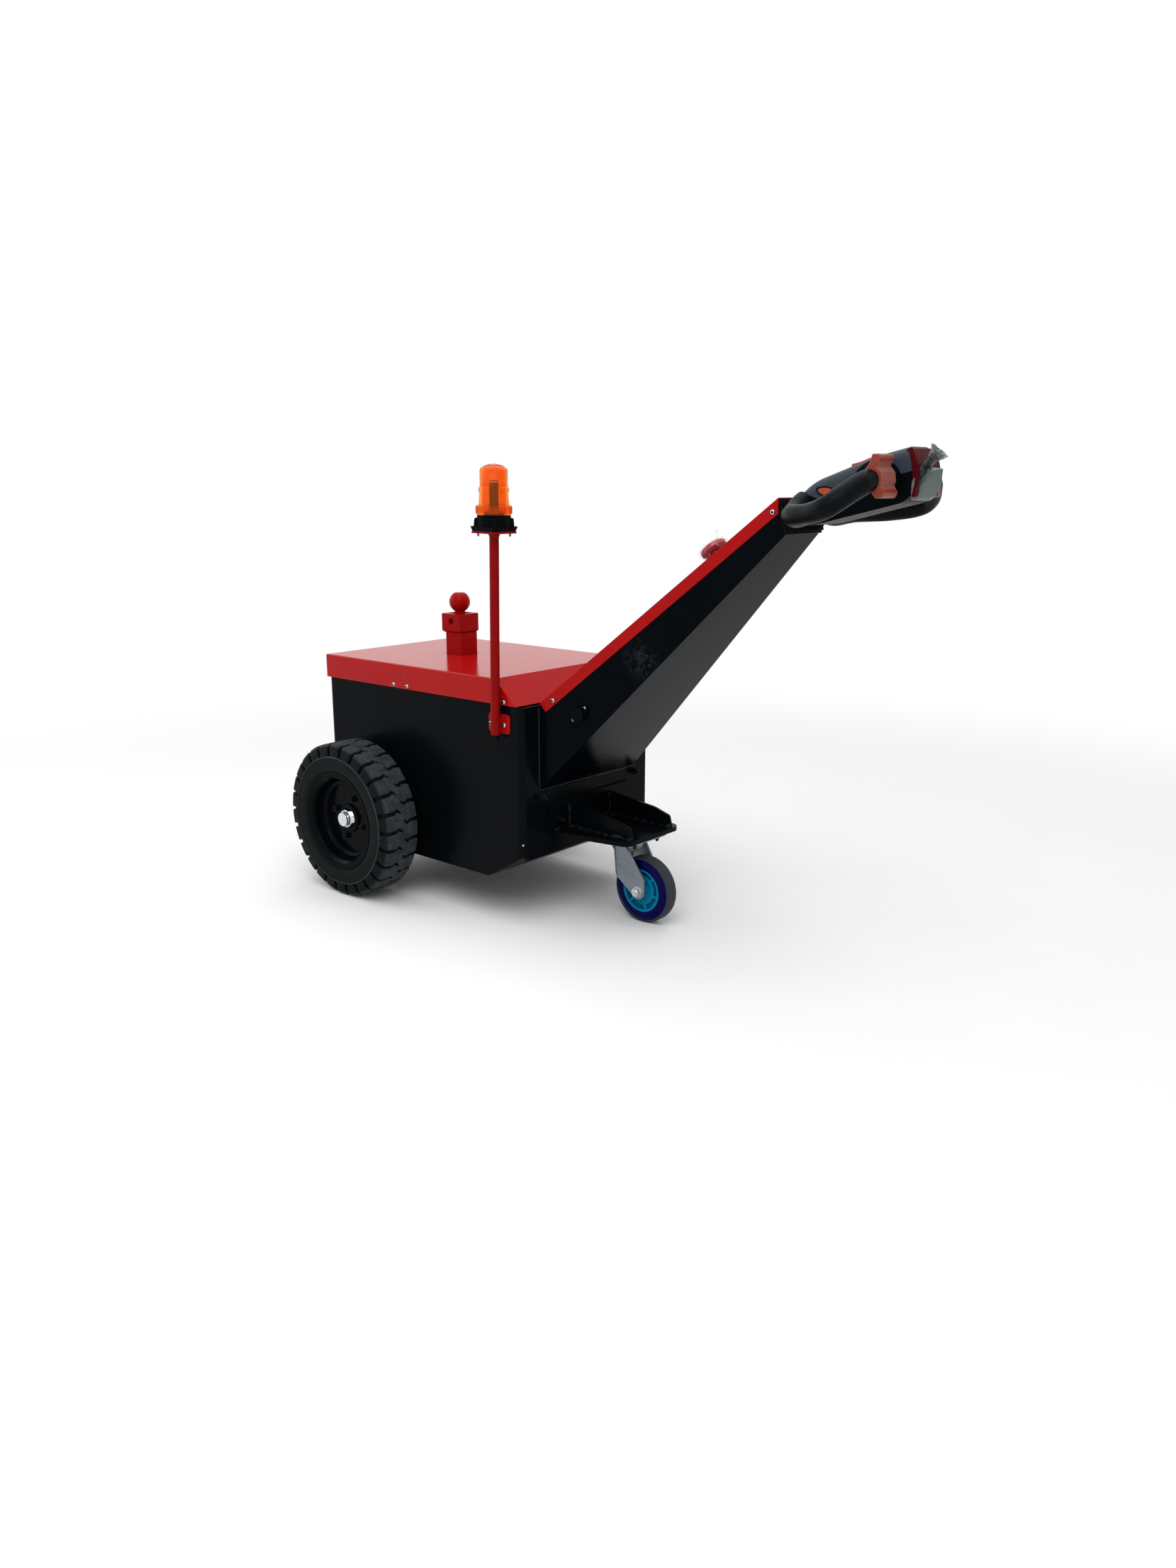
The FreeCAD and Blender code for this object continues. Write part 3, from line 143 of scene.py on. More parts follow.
# ---- finishes -----------------------------------------------------------------------
@dataclass(frozen=True)
class Finish:
    """A surface: its shader values, a slow drift between two colours and a fine grain."""

    name: str
    colour: str
    drift_colour: str
    _: KW_ONLY
    roughness: float
    rough_swing: float = 0.08
    drift: float = 0.5
    drift_mm: float = 40.0
    grain_mm: float = 4.0
    grain_depth_mm: float = 0.03
    metallic: float = 0.0
    specular: float = 0.5
    ior: float = 1.5

    def tone(self, tree: NodeTree, where: NodeSocket) -> NodeSocket:
        """The colour, drifting slowly between its two tones.

        Args:
            tree: The material's nodes.
            where: The place on the tug.

        Returns:
            The colour.
        """
        patches = add_node(tree, "ShaderNodeTexNoise", {
            "Vector": where, "Scale": per_mm(self.drift_mm), "Detail": 4.0})
        share = add_node(tree, "ShaderNodeMapRange", {
            "Value": patches, "From Min": 0.35, "From Max": 0.75, "To Max": self.drift})
        return add_node(tree, "ShaderNodeMix", {
            "data_type": "RGBA", 0: share, 6: linear(self.colour), 7: linear(self.drift_colour)}).outputs[2]

    def gloss(self, tree: NodeTree, where: NodeSocket) -> NodeSocket:
        """The roughness, a little uneven over the surface.

        Args:
            tree: The material's nodes.
            where: The place on the tug.

        Returns:
            The roughness.
        """
        half = self.rough_swing / 2
        patches = add_node(tree, "ShaderNodeTexNoise", {
            "Vector": where, "Scale": per_mm(self.drift_mm / 3), "Detail": 3.0})
        return add_node(tree, "ShaderNodeMapRange", {
            "Value": patches, "From Min": 0.3, "From Max": 0.7,
            "To Min": max(0.02, self.roughness - half), "To Max": self.roughness + half}).outputs[0]

    def relief(self, tree: NodeTree, where: NodeSocket) -> NodeSocket:
        """The height of the grain."""
        return add_node(tree, "ShaderNodeTexNoise", {
            "Vector": where, "Scale": per_mm(self.grain_mm), "Detail": 2.0}).outputs["Fac"]

    def extras(self, tree: NodeTree, shader: Node, where: NodeSocket) -> None:
        """Hook for what only some finishes have."""

    def build(self) -> Material:
        """Makes the material.

        Returns:
            The material, for any piece of this finish.
        """
        material = bpy.data.materials.new(self.name)
        material.diffuse_color = linear(self.colour)
        tree = empty_tree(material)
        where = add_node(tree, "ShaderNodeTexCoord").outputs["Object"]
        bump = add_node(tree, "ShaderNodeBump", {
            "Strength": 1.0, "Distance": self.grain_depth_mm * MM, "Height": self.relief(tree, where)})
        shader = add_node(tree, "ShaderNodeBsdfPrincipled", {
            "Metallic": self.metallic, "IOR": self.ior, "Specular IOR Level": self.specular,
            "Base Color": self.tone(tree, where), "Roughness": self.gloss(tree, where), "Normal": bump.outputs[0]})
        self.extras(tree, shader, where)
        add_node(tree, "ShaderNodeOutputMaterial", {"Surface": shader.outputs[0]})
        return material


@functools.cache
def material_of(finish: Finish) -> Material:
    """The material of a finish, made once."""
    return finish.build()


@dataclass(frozen=True)
class LidPaint(Finish):
    """Powder coat on the lid, with the butt joint of its folded skirt."""

    joint_x: float
    skirt_y: float
    low_z: float
    joint_half: float = 0.7 * MM
    shade: str = "#6E0C10"

    def tone(self, tree: NodeTree, where: NodeSocket) -> NodeSocket:
        """The powder coat, darkened along the joint.

        Args:
            tree: The material's nodes.
            where: The place on the tug.

        Returns:
            The colour.
        """
        x, y, z = add_node(tree, "ShaderNodeSeparateXYZ", {"Vector": where}).outputs
        near = add_node(tree, "ShaderNodeMath", {
            "operation": "COMPARE", 0: x, 1: self.joint_x, 2: self.joint_half})
        across = add_node(tree, "ShaderNodeMath", {"operation": "ABSOLUTE", 0: y})
        skirt = add_node(tree, "ShaderNodeMath", {"operation": "GREATER_THAN", 0: across, 1: self.skirt_y})
        above = add_node(tree, "ShaderNodeMath", {"operation": "GREATER_THAN", 0: z, 1: self.low_z})
        side = add_node(tree, "ShaderNodeMath", {"operation": "MULTIPLY", 0: skirt, 1: above})
        joint = add_node(tree, "ShaderNodeMath", {"operation": "MULTIPLY", 0: near, 1: side})
        return add_node(tree, "ShaderNodeMix", {
            "data_type": "RGBA", 0: joint, 6: super().tone(tree, where), 7: linear(self.shade)}).outputs[2]


@dataclass(frozen=True)
class SmudgedPaint(Finish):
    """Black powder coat with one dusty hand smudge."""

    smudge_at: tuple[float, float, float]
    smudge_r: float = 48 * MM
    streak_mm: float = 16.0
    dust: str = "#2C323A"

    def tone(self, tree: NodeTree, where: NodeSocket) -> NodeSocket:
        """The paint, with streaks of dust inside the smudge.

        Args:
            tree: The material's nodes.
            where: The place on the tug.

        Returns:
            The colour.
        """
        away = add_node(tree, "ShaderNodeVectorMath", {"operation": "DISTANCE", 0: where, 1: self.smudge_at})
        inside = add_node(tree, "ShaderNodeMapRange", {
            "Value": away.outputs["Value"], "From Max": self.smudge_r, "To Min": 1.0, "To Max": 0.0})
        wiped = add_node(tree, "ShaderNodeTexNoise", {
            "Vector": where, "Scale": per_mm(self.streak_mm), "Detail": 5.0, "Distortion": 1.6})
        streaks = add_node(tree, "ShaderNodeMapRange", {
            "Value": wiped, "From Min": 0.46, "From Max": 0.72, "To Max": 0.9})
        dusty = add_node(tree, "ShaderNodeMath", {"operation": "MULTIPLY", 0: inside, 1: streaks})
        return add_node(tree, "ShaderNodeMix", {
            "data_type": "RGBA", 0: dusty, 6: super().tone(tree, where), 7: linear(self.dust)}).outputs[2]


@dataclass(frozen=True)
class CapRubber(Finish):
    """Moulded rubber, scuffed lighter on the blocks' crowns and on the sidewall's rib."""

    axle: tuple[float, float, float]
    crown_r: float
    worn_depth: float = 9 * MM
    rib_r: float = 152 * MM
    rib_half: float = 1.3 * MM
    wear_mm: float = 14.0
    scuff: str = "#474E51"

    def tone(self, tree: NodeTree, where: NodeSocket) -> NodeSocket:
        """The rubber, lighter towards the crown of the blocks and on the rib.

        Args:
            tree: The material's nodes.
            where: The place on the tug.

        Returns:
            The colour.
        """
        x, _, z = add_node(tree, "ShaderNodeSeparateXYZ", {"Vector": where}).outputs
        flat = add_node(tree, "ShaderNodeCombineXYZ", {"X": x, "Z": z})
        radius = add_node(tree, "ShaderNodeVectorMath", {
            "operation": "DISTANCE", 0: flat, 1: self.axle}).outputs["Value"]
        crown = add_node(tree, "ShaderNodeMapRange", {
            "Value": radius, "From Min": self.crown_r - self.worn_depth, "From Max": self.crown_r})
        rib = add_node(tree, "ShaderNodeMath", {
            "operation": "COMPARE", 0: radius, 1: self.rib_r, 2: self.rib_half})
        proud = add_node(tree, "ShaderNodeMath", {"operation": "MAXIMUM", 0: crown, 1: rib})
        wear = add_node(tree, "ShaderNodeTexNoise", {
            "Vector": where, "Scale": per_mm(self.wear_mm), "Detail": 5.0})
        worn = add_node(tree, "ShaderNodeMath", {"operation": "MULTIPLY", 0: proud, 1: wear})
        return add_node(tree, "ShaderNodeMix", {
            "data_type": "RGBA", 0: worn, 6: super().tone(tree, where), 7: linear(self.scuff)}).outputs[2]


@dataclass(frozen=True)
class AxleSteel(Finish):
    """A steel axle: turned bright at its ends, painted black further in."""

    bright_from: float
    bright: str = "#CDD0D2"

    def extras(self, tree: NodeTree, shader: Node, where: NodeSocket) -> None:
        """Makes the ends bare metal.

        Args:
            tree: The material's nodes.
            shader: The shader that takes the metal.
            where: The place on the tug.
        """
        _, y, _ = add_node(tree, "ShaderNodeSeparateXYZ", {"Vector": where}).outputs
        across = add_node(tree, "ShaderNodeMath", {"operation": "ABSOLUTE", 0: y})
        bare = add_node(tree, "ShaderNodeMath", {"operation": "GREATER_THAN", 0: across, 1: self.bright_from})
        tree.links.new(bare.outputs[0], shader.inputs["Metallic"])
        base = shader.inputs["Base Color"]
        metal = add_node(tree, "ShaderNodeMix", {
            "data_type": "RGBA", 0: bare, 6: base.links[0].from_socket, 7: linear(self.bright)})
        tree.links.new(metal.outputs[2], base)


@dataclass(frozen=True)
class AmberLens(Finish):
    """Injection-moulded amber polycarbonate: clear, so what stands behind it shows through."""

    clear: float

    def extras(self, tree: NodeTree, shader: Node, where: NodeSocket) -> None:
        """Lets light through."""
        shader.inputs["Transmission Weight"].default_value = self.clear


@dataclass(frozen=True)
class WrapFilm(Finish):
    """Thin clear polyethylene wrap: nearly unseen face on, milky where it creases."""

    milky: float
    face_on: float
    crease_mm: float = 9.0
    bend_mm: float = 22.0
    streak_mm: float = 7.0
    edge_on: float = 0.35

    def relief(self, tree: NodeTree, where: NodeSocket) -> NodeSocket:
        """Creases that run between smooth flats.

        Args:
            tree: The material's nodes.
            where: The place on the tug.

        Returns:
            The height.
        """
        bent = add_node(tree, "ShaderNodeTexNoise", {
            "Vector": where, "Scale": per_mm(self.bend_mm), "Detail": 2.0})
        pulled = add_node(tree, "ShaderNodeVectorMath", {
            "operation": "MULTIPLY_ADD", 0: bent.outputs["Color"], 1: (0.03, 0.03, 0.03), 2: where})
        return add_node(tree, "ShaderNodeTexVoronoi", {
            "feature": "F1", "Vector": pulled, "Scale": per_mm(self.crease_mm)}).outputs["Distance"]

    def extras(self, tree: NodeTree, shader: Node, where: NodeSocket) -> None:
        """Sets the film's see-through share from its creases and its edge-on parts.

        Args:
            tree: The material's nodes.
            shader: The shader that takes the share.
            where: The place on the tug.
        """
        streaks = add_node(tree, "ShaderNodeTexNoise", {
            "Vector": where, "Scale": per_mm(self.streak_mm), "Detail": 4.0, "Distortion": 2.0})
        lines = add_node(tree, "ShaderNodeMapRange", {
            "Value": streaks, "From Min": 0.58, "From Max": 0.74, "To Min": self.face_on, "To Max": self.milky})
        rim = add_node(tree, "ShaderNodeLayerWeight", {"Blend": 0.2}).outputs["Facing"]
        edges = add_node(tree, "ShaderNodeMath", {"operation": "MULTIPLY", 0: rim, 1: self.edge_on})
        total = add_node(tree, "ShaderNodeMath", {"operation": "ADD", "use_clamp": True, 0: lines, 1: edges})
        tree.links.new(total.outputs[0], shader.inputs["Alpha"])


TYRE_LOW, TYRE_HIGH = corners("drive_tyre_left")
LID_LOW, LID_HIGH = corners("lid")
TYRE_MIDDLE = (TYRE_LOW + TYRE_HIGH) / 2

# Polyester powder coat on sheet steel: glossy, with orange peel 2-4 mm across, drawn 4 mm so that it shows.
RED_POWDER = Finish("red_powder_coat", "#A20B0D", "#960A0C", roughness=0.28, rough_swing=0.03, drift=0.4,
                    drift_mm=90, grain_depth_mm=0.04, specular=0.1)
# The same red on the hitch post, drawn darker as painted shade.
POST_POWDER = Finish("post_powder_coat", "#990608", "#870507", roughness=0.3, rough_swing=0.04, drift_mm=60,
                     grain_mm=3.0, specular=0.06)
# The same red on the pole, drawn darker again as painted shade.
POLE_POWDER = Finish("pole_powder_coat", "#86080A", "#760607", roughness=0.3, rough_swing=0.04, drift=0.6,
                     grain_mm=3.0, specular=0.06)
# The lid's coat is the glossiest: it mirrors the sky.
LID_POWDER = LidPaint("lid_powder_coat", "#A50B0D", "#9A0A0C", roughness=0.16, rough_swing=0.02, drift=0.4,
                      drift_mm=90, specular=0.13, joint_x=LID_LOW[0] + 275 * MM, skirt_y=LID_HIGH[1] - 0.5 * MM,
                      low_z=LID_LOW[2] + 14 * MM)
# Black semi-gloss powder coat: nearly without reflection face on, a mirror of the floor at a low angle.
BLACK_POWDER = Finish("black_powder_coat", "#05080B", "#0A0D10", roughness=0.26, rough_swing=0.04, drift_mm=120,
                      grain_depth_mm=0.02, specular=0.035)
# The same coat on the arm, smudged by a hand.
ARM_POWDER = SmudgedPaint("arm_powder_coat", "#020509", "#05080C", roughness=0.22, rough_swing=0.04, drift_mm=120,
                          grain_depth_mm=0.02, specular=0.028, smudge_at=(185 * MM, -116 * MM, 607 * MM))
# Black enamel brushed over the welds, glossier and lumpier than the powder coat.
WELD_ENAMEL = Finish("black_enamel_on_weld", "#05080A", "#14181A", roughness=0.26, drift=0.8, drift_mm=14,
                     grain_mm=1.6, grain_depth_mm=0.08, specular=0.1)
# Sprayed black gloss enamel on pressed rims.
RIM_ENAMEL = Finish("black_rim_enamel", "#05080B", "#090C0F", roughness=0.17, rough_swing=0.04, drift=0.4,
                    drift_mm=60, grain_depth_mm=0.015, specular=0.03)
# Solid rubber with carbon black: matt sidewall, scuffed crown.
TYRE_RUBBER = CapRubber("black_tyre_rubber", "#080C0D", "#0F1416", roughness=0.5, drift=0.6, grain_mm=0.9,
                        grain_depth_mm=0.06, specular=0.05, axle=(TYRE_MIDDLE.x, 0.0, TYRE_MIDDLE.z),
                        crown_r=TYRE_MIDDLE.z)
# Non-marking grey elastic rubber of the caster.
GREY_RUBBER = Finish("grey_elastic_rubber", "#363B40", "#2F3438", roughness=0.55, drift_mm=25, grain_mm=0.8,
                     grain_depth_mm=0.04, specular=0.08)
# Bright zinc plate on pressed steel, a little cloudy.
ZINC = Finish("zinc_plated_steel", "#868D95", "#757C84", roughness=0.42, rough_swing=0.14, drift=0.6, drift_mm=30,
              grain_mm=1.2, metallic=0.7)
# Machined stainless button screws.
STAINLESS = Finish("stainless_screws", "#AEB1B2", "#9FA2A4", roughness=0.24, rough_swing=0.1, drift_mm=5,
                   grain_mm=0.8, grain_depth_mm=0.01, metallic=1.0)
# Chrome plate.
CHROME = Finish("bright_chrome", "#CDD0D2", "#BFC3C6", roughness=0.07, rough_swing=0.04, drift=0.4, drift_mm=15,
                grain_mm=2.0, grain_depth_mm=0.004, metallic=1.0)
# Turned steel, bright at its ends.
AXLE_STEEL = AxleSteel("turned_axle_steel", "#0A0C0E", "#101215", roughness=0.14, rough_swing=0.04, drift=0.4,
                       grain_mm=3.0, grain_depth_mm=0.004, specular=0.15, bright_from=0.309)
# Oiled black oxide on bolts.
BLACK_OXIDE = Finish("black_oxide_bolts", "#07090B", "#111416", roughness=0.28, drift=0.6, drift_mm=8, grain_mm=0.8,
                     grain_depth_mm=0.02, specular=0.1)
# Sand-cast aluminium, painted dark.
CAST_CASE = Finish("cast_motor_case", "#22262A", "#2C3136", roughness=0.5, drift=0.6, drift_mm=30, grain_mm=1.5,
                   grain_depth_mm=0.12, metallic=0.3)
# Moulded nylon, coloured right through.
CYAN_NYLON = Finish("cyan_nylon_hub", "#0679A2", "#04668C", roughness=0.34, drift_mm=22, grain_mm=1.5,
                    specular=0.06)
# Cast polyurethane, glossy.
NAVY_URETHANE = Finish("navy_polyurethane", "#030344", "#020234", roughness=0.1, rough_swing=0.03, drift_mm=25,
                       grain_mm=3.0, grain_depth_mm=0.02, specular=0.05)
# Soft-touch PVC foam grips.
GRIP_PVC = Finish("black_grip_pvc", "#070B0D", "#0C1013", roughness=0.38, grain_mm=1.1, grain_depth_mm=0.04,
                  specular=0.05)
# Grained black ABS mouldings.
BLACK_ABS = Finish("black_grained_abs", "#04070B", "#090C10", roughness=0.4, grain_mm=0.9, grain_depth_mm=0.04,
                   specular=0.03)
# The head's upper shell: grained slate-grey ABS.
SLATE_ABS = Finish("slate_grained_abs", "#323A43", "#2A3139", roughness=0.44, drift_mm=50, grain_mm=0.9,
                   grain_depth_mm=0.05, specular=0.15)
# Glossy orange switch caps.
ORANGE_PLASTIC = Finish("orange_switch_plastic", "#B5461E", "#9C3C1A", roughness=0.34, drift_mm=20, grain_mm=1.2,
                        specular=0.2)
# The thumb switches are softer, duller mouldings of the same orange.
THUMB_PLASTIC = Finish("thumb_switch_plastic", "#8C351C", "#742A17", roughness=0.42, drift=0.6, drift_mm=16,
                       grain_mm=1.2, specular=0.1)
# Matt maroon rubberised plastic.
MAROON_PLASTIC = Finish("maroon_button_plastic", "#4C0810", "#42070D", roughness=0.36, drift=0.6, drift_mm=25,
                        grain_mm=1.0, grain_depth_mm=0.05, specular=0.03)
# Polished red mushroom head.
STOP_RED = Finish("red_stop_plastic", "#9E0A20", "#9A0E18", roughness=0.25, drift_mm=20, grain_mm=2.0,
                  grain_depth_mm=0.02)
# Black polypropylene case.
BATTERY_CASE = Finish("battery_case_plastic", "#15171A", "#1E2124", roughness=0.5, grain_mm=1.4,
                      grain_depth_mm=0.06, specular=0.35)
# Brown holder of the flash tube.
LAMP_TUBE = Finish("flash_tube_holder", "#281809", "#1C1006", roughness=0.4, drift_mm=10, grain_mm=1.5,
                   grain_depth_mm=0.02, specular=0.2)
# Amber polycarbonate.
AMBER = AmberLens("amber_polycarbonate", "#FF9800", "#F68200", roughness=0.06, rough_swing=0.03, drift=0.7,
                  drift_mm=16, grain_mm=3.0, grain_depth_mm=0.02, specular=0.03, ior=1.24, clear=0.92)
# Clear polyethylene film, creased.
FILM = WrapFilm("clear_wrap_film", "#D9DEE2", "#C2C9CF", roughness=0.1, drift_mm=14, grain_mm=9.0,
                grain_depth_mm=0.7, specular=0.4, milky=0.5, face_on=0.03)
# The same film drawn tight over the thumb switches shows little of itself.
SNUG_FILM = WrapFilm("snug_wrap_film", "#D9CFCB", "#C2B4AE", roughness=0.12, drift_mm=14, grain_mm=9.0,
                     grain_depth_mm=0.7, specular=0.3, milky=0.3, face_on=0.01)
# Several layers of it, pulled taut, hide what is behind them.
TAUT_FILM = WrapFilm("taut_wrap_film", "#66706F", "#566060", roughness=0.22, drift=0.6, drift_mm=30, grain_mm=12.0,
                     grain_depth_mm=0.4, specular=0.3, milky=0.94, face_on=0.86, crease_mm=22.0)
# Twisted into a strand, its dark grey is painted reflection of dark surroundings, and its near-black patches are
# painted shade between its folds.
TWIST_FILM = WrapFilm("twisted_wrap_film", "#474E50", "#080B0C", roughness=0.16, rough_swing=0.1, drift=1.0,
                      drift_mm=9, grain_mm=12.0, grain_depth_mm=0.8, specular=0.4, milky=0.95, face_on=0.8,
                      crease_mm=8.0)
# Spread at its end, it is paler.
FLARE_FILM = WrapFilm("flared_wrap_film", "#A9B1B6", "#4A5154", roughness=0.14, rough_swing=0.1, drift=0.9,
                      drift_mm=12, grain_mm=12.0, grain_depth_mm=0.8, specular=0.4, milky=0.9, face_on=0.6,
                      crease_mm=8.0)

DRESSING: dict[Finish, tuple[str, ...]] = {
    LID_POWDER: ("lid",),
    RED_POWDER: ("tiller_cover", "beacon_bracket"),
    POST_POWDER: ("hitch_post", "hitch_collar", "tow_ball"),
    POLE_POWDER: ("beacon_pole", "beacon_plate"),
    BLACK_POWDER: ("chassis_shell", "end_plate", "belly_pan", "caster_bracket", "arm_end_plate", "head_flange"),
    ARM_POWDER: ("tiller_arm",),
    RIM_ENAMEL: ("drive_rim_left", "drive_rim_right", "drive_hub_left", "drive_hub_right"),
    ZINC: ("caster_plate", "caster_fork"),
    CHROME: ("hub_cap_left", "hub_cap_right", "caster_axle"),
    AXLE_STEEL: ("spindle_left", "spindle_right"),
    CAST_CASE: ("drive_motor",),
    CYAN_NYLON: ("caster_hub",),
    NAVY_URETHANE: ("caster_ring",),
    GREY_RUBBER: ("caster_tread",),
    GRIP_PVC: ("handle_loop_left", "handle_loop_right"),
    BLACK_ABS: ("head_lower_shell", "switch_bosses", "stop_collar", "charging_socket", "beacon_base",
                "cable_gland"),
    SLATE_ABS: ("head_upper_shell",),
    ORANGE_PLASTIC: ("horn_rockers", "top_switch"),
    THUMB_PLASTIC: ("thumb_switch_left", "thumb_switch_right"),
    MAROON_PLASTIC: ("belly_button",),
    STOP_RED: ("stop_button",),
    BATTERY_CASE: ("battery_pack",),
    LAMP_TUBE: ("beacon_lamp",),
    AMBER: ("beacon_lens",),
}


def dress_nodes() -> None:
    """Gives every CAD node that stays in view its finish."""
    for finish, nodes in DRESSING.items():
        for node in nodes:
            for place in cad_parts[node].material_slots:
                place.material = material_of(finish)


# ---- mesh helpers -------------------------------------------------------------------
def turned(points: list[tuple[float, float]], steps: int = 20) -> BMesh:
    """Turns an outline of (radius, height) points about Z.

    Args:
        points: The outline.
        steps: The faces in a full turn.

    Returns:
        The turned mesh.
    """
    bm = bmesh.new()
    verts = [bm.verts.new((radius, 0, height)) for radius, height in points]
    edges = [bm.edges.new(pair) for pair in zip(verts, verts[1:])]
    bmesh.ops.spin(bm, geom=verts + edges, cent=(0, 0, 0), axis=UP, angle=math.tau, steps=steps, use_merge=True)
    bmesh.ops.remove_doubles(bm, verts=bm.verts, dist=1e-6)
    return bm


def raised(bm: BMesh, faces: list[BMFace]) -> tuple[list[BMVert], BMFace]:
    """Extrudes faces in place, and gives the new vertices and one new face."""
    made = bmesh.ops.extrude_face_region(bm, geom=faces)["geom"]
    return [v for v in made if isinstance(v, BMVert)], next(f for f in made if isinstance(f, BMFace))


def prism(across_flats: float, height: float, edge: float, sides: int = 6) -> BMesh:
    """A nut or bolt head standing on Z = 0, its edges broken.

    Args:
        across_flats: Its width over two flats.
        height: Its height.
        edge: The width of its broken edges.
        sides: Its flats.

    Returns:
        The head.
    """
    bm = bmesh.new()
    radius = across_flats / 2 / math.cos(math.pi / sides)
    bmesh.ops.create_circle(bm, cap_ends=True, segments=sides, radius=radius)
    bmesh.ops.translate(bm, vec=UP * height, verts=raised(bm, bm.faces[:])[0])
    bmesh.ops.bevel(bm, geom=bm.edges[:], offset=edge, segments=2, profile=0.5, affect="EDGES", material=-1)
    return bm


def swept(path: list[Vector], radii: list[float], sides: int, turn: float = 0.0, pinch: float = 1.0) -> BMesh:
    """Extrudes a ring along a path.

    Args:
        path: The ring's centres.
        radii: The ring's radius at each centre.
        sides: The ring's corners.
        turn: How far the ring turns from one centre to the next.
        pinch: The radius of every other corner, as a share, which makes folds.

    Returns:
        The tube, closed at both ends.
    """
    bm = bmesh.new()
    ring = bmesh.ops.create_circle(bm, cap_ends=True, segments=sides, radius=1)["verts"]
    for vert in ring[::2]:
        vert.co *= pinch
    rest = [v.co.copy() for v in ring]
    face = bm.faces[:][0]
    for step, (at, radius) in enumerate(zip(path, radii)):
        if step:
            fresh, face = raised(bm, [face])
            ring = [next(e.other_vert(v) for e in v.link_edges if e.other_vert(v) in fresh) for v in ring]
        ahead = path[min(step + 1, len(path) - 1)] - path[max(step - 1, 0)]
        place = standing(at, ahead.normalized()) @ Matrix.Rotation(turn * step, 4, "Z") @ Matrix.Scale(radius, 4)
        for vert, co in zip(ring, rest):
            vert.co = place @ co
    return bm


def add_part(bm: BMesh, part: BMesh, place: Matrix) -> None:
    """Puts a part into a mesh at a place, and frees the part.

    Args:
        bm: The mesh that takes it.
        part: The part, standing on Z = 0.
        place: Where it goes.
    """
    bmesh.ops.transform(part, matrix=place, verts=part.verts)
    mesh = bpy.data.meshes.new("part")
    part.to_mesh(mesh)
    part.free()
    bm.from_mesh(mesh)
    bpy.data.meshes.remove(mesh)


def standing(at: Vector, normal: Vector) -> Matrix:
    """The place of a part that stands at a point with its Z along a normal."""
    return Matrix.Translation(at) @ UP.rotation_difference(normal).to_matrix().to_4x4()


@functools.cache
def surface(node: str) -> BVHTree:
    """A CAD node's surface, for finding where a part touches it.

    Args:
        node: The node's name.

    Returns:
        The surface, at rest.
    """
    bm = bmesh.new()
    bm.from_mesh(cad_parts[node].data)
    tree = BVHTree.FromBMesh(bm)
    bm.free()
    return tree


def touch(node: str, start: Vector, way: Vector) -> tuple[Vector, Vector]:
    """The point and outward normal where a line first meets a node.

    Args:
        node: The node's name.
        start: The line's start, outside the node.
        way: Its direction.

    Returns:
        The point and the normal.
    """
    at, normal, _, _ = surface(node).ray_cast(start, way)
    if at is None:
        raise ValueError(f"nothing of {node} lies that way")
    return at, normal if normal.dot(way) < 0 else -normal


def make_piece(bm: BMesh, name: str, finish: Finish, body: str, crease: float = 35.0,
               stands_for: tuple[str, ...] = ()) -> None:
    """Turns a finished mesh into a piece of the tug.

    Args:
        bm: The mesh, which is freed.
        name: The piece's name.
        finish: Its finish.
        body: The body that it rides on.
        crease: Edges sharper than this many degrees stay sharp.
        stands_for: CAD nodes that it replaces.
    """
    bmesh.ops.remove_doubles(bm, verts=bm.verts, dist=1e-6)
    bmesh.ops.recalc_face_normals(bm, faces=bm.faces)
    mesh = bpy.data.meshes.new(name)
    bm.to_mesh(mesh)
    bm.free()
    mesh.shade_smooth()
    mesh.set_sharp_from_angle(angle=math.radians(crease))
    mesh.materials.append(material_of(finish))
    piece = put_in_scene(name, mesh)
    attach(piece, body)
    if stands_for:
        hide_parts(*stands_for)
    log.info("%s: %d faces on %s", name, len(mesh.polygons), body)


